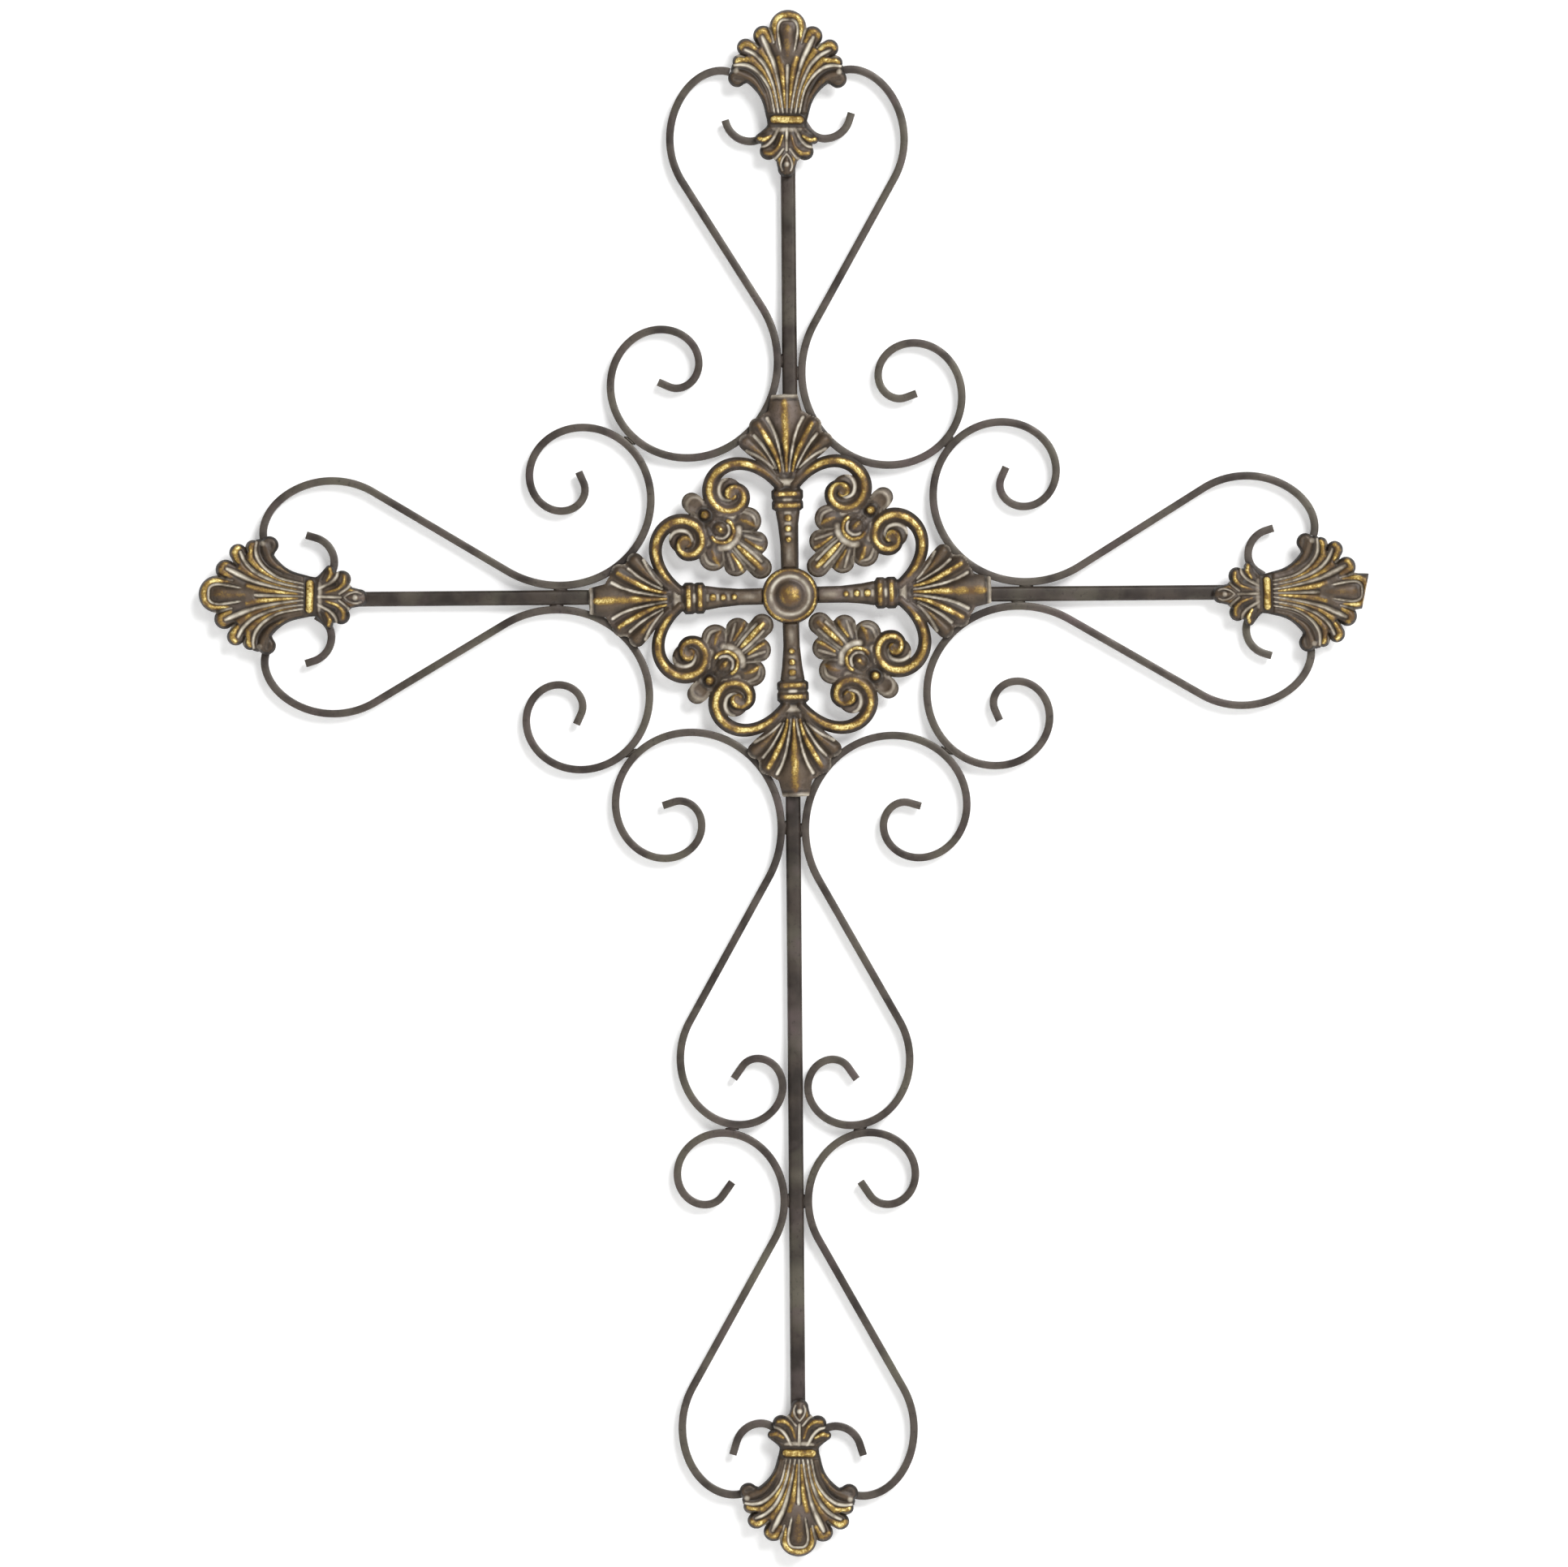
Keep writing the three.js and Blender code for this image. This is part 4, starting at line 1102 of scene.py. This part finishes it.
FAN = (
    (70, 80, 86, 90, 95, 100, 105, 110, 114, 119),
    (1.6, 2.4, 3.6, 4.6, 6.2, 8.2, 10, 9.7, 8.8, 7.6),
)
FAN_PAST_END = 1e-6
FAN_END = 119
LIP_ALONG = 118
LIP_WIDTH = 1.3
LIP_HALF = 7.6
LIP_PALE = 0.55
FLANGE_ALONG = 92
FLANGE_ACROSS = 12
FLANGE_WIDTH = 1.1
FLANGE_PALE = 0.45
WEB = (
    (66, 72, 76, 80, 84, 87, 93, 95.5, 96.6, 101, 104.6, 107, 109, 111),
    (5, 8.5, 11.5, 15.5, 22, 25.5, 26, 24, 21.6, 20.6, 18.6, 13.6, 10.4, 9),
)
FAN_RIBS = [
    (0.95, [(0, 73, 0.8, 0.2), (0, 84, 1.2, 0.2), (0, 92, 2.4, 0.2), (0, 110, 3.6, 0.2), (0, 115, 2.4, 0.1)]),
    (0.95, [(3.6, 73.5, 0.8, 0.2), (4.7, 79, 1.1, 0.2), (6.9, 85, 1.5, 0.3), (9.6, 90, 1.8, 0.3),
            (13, 96.6, 1.8, 0.3), (15.6, 101, 1.3, 0.1)]),
    (0.15, [(9.4, 77, 1.4, 0), (14, 83, 2, 0), (19.6, 88, 2.2, 0)]),
]
VOLUTE_START = (4.4, 65.2)
VOLUTE_HEADING = math.radians(47)
VOLUTE = [(4, 0, 0), (25.5, -42.5, -19.2), (49.5, -19.2, -8.6), (24, -8.6, -3.6), (8, -3.6, -2.4)]
VOLUTE_HALF = 3.2
VOLUTE_SWELL = 1.3
VOLUTE_WIDEST = 0.5
VOLUTE_RISE = 4.2
VOLUTE_RUB = 0.34
VOLUTE_STEP = 0.8
VOLUTE_REACH = 8
VOLUTE_TAPER = 0.2
VOLUTE_LEAST = 0.55
# Shares of the way along the volute, and of gold there.
VOLUTE_GILDING = ((0.04, 0.14, 0.8, 1), (0, 1, 0.9, 0.6))
COIL_MIDDLE = (35, 62)
COIL_RADIUS = 8.6
COIL_RISE = 2
COIL_ROLL = 2
COIL_EYE = (33.4, 61.8, 4.2, 2.6)
COIL_CREASE = [
    (34.9, 70.3, 0.9, 0.8), (38.2, 68.4, 1, 1.3), (40, 64.8, 1.1, 1.5), (39.8, 61.2, 1.1, 1.5),
    (38.2, 58.4, 1, 1.5), (34.8, 57, 0.8, 1.2), (33, 57.2, 0.6, 0.5),
]
# The leaf is given by places of (aside from the diagonal, along it from the crossing, ...).
LEAF_ROLL = 2
LEAF_SWELL = 0.6
LEAF_RIM = 1.7
LEAF_RIM_WIDTH = 0.8
LEAF_RIM_PALE = 0.25
# Lobes with the rise of each.
LEAF_LOBES = [
    (3.6, [(0, 63, 2.4), (0, 50, 4), (0, 35, 6), (0, 24, 6.7)]),
    (3.2, [(2.6, 62, 2), (5, 50, 3.6), (7.2, 40.4, 6), (8.6, 36, 7.2)]),
    (3.2, [(5, 63, 2.4), (8.6, 55, 5.4), (12.4, 50.2, 7.4), (14.8, 48.6, 8.2)]),
    (2.2, [(0, 49, 15), (0, 60, 16.5), (0, 67, 9)]),
    (2.4, [(0, 64, 4), (0, 77, 6.1), (0, 80, 5.9)]),
]
LEAF_RIBS = [
    (0.95, [(0.3, 23, 1.2, 0.3), (0.2, 29, 2, 1.4), (0.1, 37, 1.9, 1.4), (0, 42, 1, 0.3)]),
    (0.65, [(8.6, 30.4, 1.3, 0.5), (7.2, 34, 1.6, 1), (5.8, 41.6, 1.1, 0.5)]),
    (0.5, [(16.2, 42.4, 1.4, 0.4), (14.8, 47, 2, 0.9), (12.4, 51.6, 1.2, 0.3)]),
]
LEAF_CREASES = [
    (0.75, [(3, 26, 0.8, 0.9), (2.9, 32, 1, 1.3), (2.6, 39, 0.9, 1.2), (2, 44, 0.6, 0.4)]),
    (0.3, [(6.2, 27.4, 1, 1.6), (5.4, 34, 0.9, 1.4), (4, 43, 0.7, 0.8)]),
    (0.3, [(14.2, 39.4, 1.1, 1.8), (11, 43.4, 0.9, 1.3), (8, 47, 0.7, 0.7)]),
    (0.6, [(12, 34.4, 0.8, 0.8), (9.6, 38.8, 0.9, 0.9), (7.2, 43.6, 0.7, 0.6)]),
    (0.65, [(16.4, 43.2, 0.7, 0.7), (19, 48.3, 1, 0.9), (16.6, 54.6, 0.8, 0.6)]),
    (0.7, ring(55.6, 10.2, 1.9, 1, 0, 50)),
    (0.65, ring(55.6, 11, 2, 0.9, 96, 140)),
]
CUP_CREST = ring(55, 6.8, 1.4, 1.7, 0, 105)
CUP_FLOOR = ring(56, 4.9, 0.8, 1, 0, 80)
CUP_SHADE = ring(56.4, 5, 0.7, 0.8, 95, 180)
BUD = (0, 57, 4.2, 1.6)
BUD_DOT = (0, 56.4, 1.4, 0.5)
BEAD_SHADE = ring(69, 4, 1, 1.2, 0, 180)
BEAD = (0, 69, 3, 2.8)
BEAD_DOT = (69.5, 1.6)
TAIL_HOLLOW = (0, 77, 3.6, -1.5)
TAIL_EDGE = ring(77, 5.3, 1.6, 0.3, 75, 180)


def leaf_shape(aside, along):
    """A leaf with lobes round a cup that holds a bud, and a bead and a hollow tail at its foot."""
    leaf = Relief(aside, along)
    for rise, places in LEAF_LOBES:
        lobe(leaf, places, rise)
    leaf.height += LEAF_SWELL * rounded(leaf.inside, LEAF_ROLL)
    for gold, places in LEAF_RIBS:
        crest(leaf, places, gold)
    for pale, places in LEAF_CREASES:
        groove(leaf, places, pale)
    leaf.at_least(pale=LEAF_RIM_PALE * bell(leaf.inside - LEAF_RIM, LEAF_RIM_WIDTH))
    crest(leaf, CUP_CREST, gold=0.95)
    groove(leaf, CUP_FLOOR, pale=0.8)
    groove(leaf, CUP_SHADE, pale=0)
    knob(leaf, *BUD, gold=0.15)
    knob(leaf, *BUD_DOT, gold=0.9)
    groove(leaf, BEAD_SHADE, pale=0)
    knob(leaf, *BEAD)
    dot_along, dot_radius = BEAD_DOT
    leaf.at_least(gold=bell(np.hypot(aside, along - dot_along), dot_radius))
    knob(leaf, *TAIL_HOLLOW)
    crest(leaf, TAIL_EDGE, gold=0, pale=0.45)
    return leaf


def add_volute(arm):
    """Lays the volute and its coil on an arm of the medallion, where it stands higher than the arm."""
    across, along = arm.x, arm.z
    middle_across, middle_along = COIL_MIDDLE
    floor = COIL_RADIUS - np.hypot(across - middle_across, along - middle_along)
    bare = (floor > 0) & (arm.inside <= 0)
    arm.cover(bare, height=RIM + COIL_RISE * rounded(floor, COIL_ROLL))
    arm.at_least(inside=floor)
    spiral = follow(VOLUTE_START, VOLUTE_HEADING, VOLUTE, VOLUTE_STEP)
    shares = np.linspace(0, 1, len(spiral))
    swell = 1 - np.abs(shares - VOLUTE_WIDEST) / VOLUTE_WIDEST
    taper = np.clip((1 - shares) / VOLUTE_TAPER, VOLUTE_LEAST, 1)
    widths = (VOLUTE_HALF + VOLUTE_SWELL * swell) * taper
    line = np.column_stack([spiral, widths, shares])
    near, distance, (width, share) = beside(across, along, line, VOLUTE_REACH)
    inside = width - distance
    ridge = RIM + VOLUTE_RISE * arched(distance / width)
    take = (inside > 0) & ((ridge > arm.height[near]) | (arm.inside[near] <= 0))
    rub = bell(distance, VOLUTE_RUB * width) * np.interp(share, *VOLUTE_GILDING)
    arm.cover(take, near, height=ridge, gold=rub, pale=0, dark=0)
    arm.at_least(near, inside=inside)
    groove(arm, COIL_CREASE, pale=0.9)
    knob(arm, *COIL_EYE, gold=0.4)


def arm_shape(across, along):
    """An arm: a baluster with beads and rings, and a fan with a volute beside it."""
    arm = Relief(across, along)
    for places in FAN_LOBES:
        lobe(arm, places, FAN_RISE)
    petal = np.interp(along, *FAN, left=FAN_PAST_END, right=FAN_PAST_END)
    arm.at_least(height=RIM + FAN_RISE * arched(across / petal))
    web = half_width(along, *WEB) - across
    arm.at_least(inside=np.maximum(np.minimum(petal - across, FAN_END - along), web))
    arm.at_least(height=RIM + FAN_WEB_RISE * rounded(arm.inside, FAN_WEB_ROLL))
    baluster = half_width(along, *BALUSTER) - across
    arm.at_least(height=RIM + ARM_RISE * rounded(baluster, ARM_ROLL), inside=baluster)
    for middle in RINGS:
        swell = np.clip(1 - ((along - middle) / RING_HALF) ** 2, 0, 1)
        arm.height += RING_RISE * swell * (across < RING_ACROSS)
        arm.at_least(gold=bell(along - middle, RING_GILT_ALONG, 4) * bell(across, RING_GILT_ACROSS, 8))
    for pale, places in ARM_CREASES:
        groove(arm, places, pale)
    for share, middle, length, width, power in BALUSTER_WASH:
        arm.at_least(pale=share * bell(along - middle, length) * bell(across, width, power))
    for middle, size in BEADS:
        knob(arm, 0, middle, size, BEAD_RISE, gold=1)
    for gold, places in FAN_RIBS:
        crest(arm, places, gold)
    lip = LIP_PALE * bell(along - LIP_ALONG, LIP_WIDTH) * (across < LIP_HALF)
    arm.gold *= 1 - lip
    arm.at_least(pale=lip)
    flange = bell(arm.inside, FLANGE_WIDTH) * (along > FLANGE_ALONG) * (across > FLANGE_ACROSS)
    arm.at_least(pale=FLANGE_PALE * flange)
    add_volute(arm)
    return arm


def medallion_shape(x, z):
    """The whole medallion: its arms, the leaves between them and the boss over their feet."""
    along = np.maximum(np.abs(x), np.abs(z))
    across = np.minimum(np.abs(x), np.abs(z))
    radius = np.hypot(x, z)
    arm = arm_shape(across, along)
    leaf = leaf_shape((along - across) / math.sqrt(2), (along + across) / math.sqrt(2))
    relief = Relief(x, z)
    leaf_over = (leaf.inside > 0) & ((arm.inside <= 0) | (leaf.height > arm.height))
    for layer in ("height", *PAINTS):
        setattr(relief, layer, np.where(leaf_over, getattr(leaf, layer), getattr(arm, layer)))
    relief.inside = np.maximum(arm.inside, leaf.inside)

    def band(share, middle, half, power):
        return share * bell(radius - middle, half, power)

    on_boss = radius < BOSS_RADIUS[-1]
    gilt = np.maximum(band(*BOSS_DOME, 4), band(*BOSS_HOOP, 4))
    boss = np.interp(radius, BOSS_RADIUS, BOSS_HEIGHT)
    relief.cover(on_boss, height=boss, gold=gilt, pale=band(*BOSS_WASH, 2), dark=0)
    relief.at_least(inside=BOSS_RADIUS[-1] - radius)
    relief.height = (soften(relief.height, 1) + relief.height) / 2
    rub_gold_and_paint_shade(relief, MEDALLION_CELL, MEDALLION_STANDS_OUT, MEDALLION_GILDING)
    return relief


piece = pressed_sheet("medallion_pressing", MEDALLION_LOW, MEDALLION_HIGH, MEDALLION_CELL, medallion_shape)
piece.data.transform(
    Matrix.Translation((MEDALLION_ASIDE * MM, 0, 0)) @ Matrix.Rotation(math.radians(-MEDALLION_TURN), 4, "Y")
)
wear(piece, "medallion", bronze)
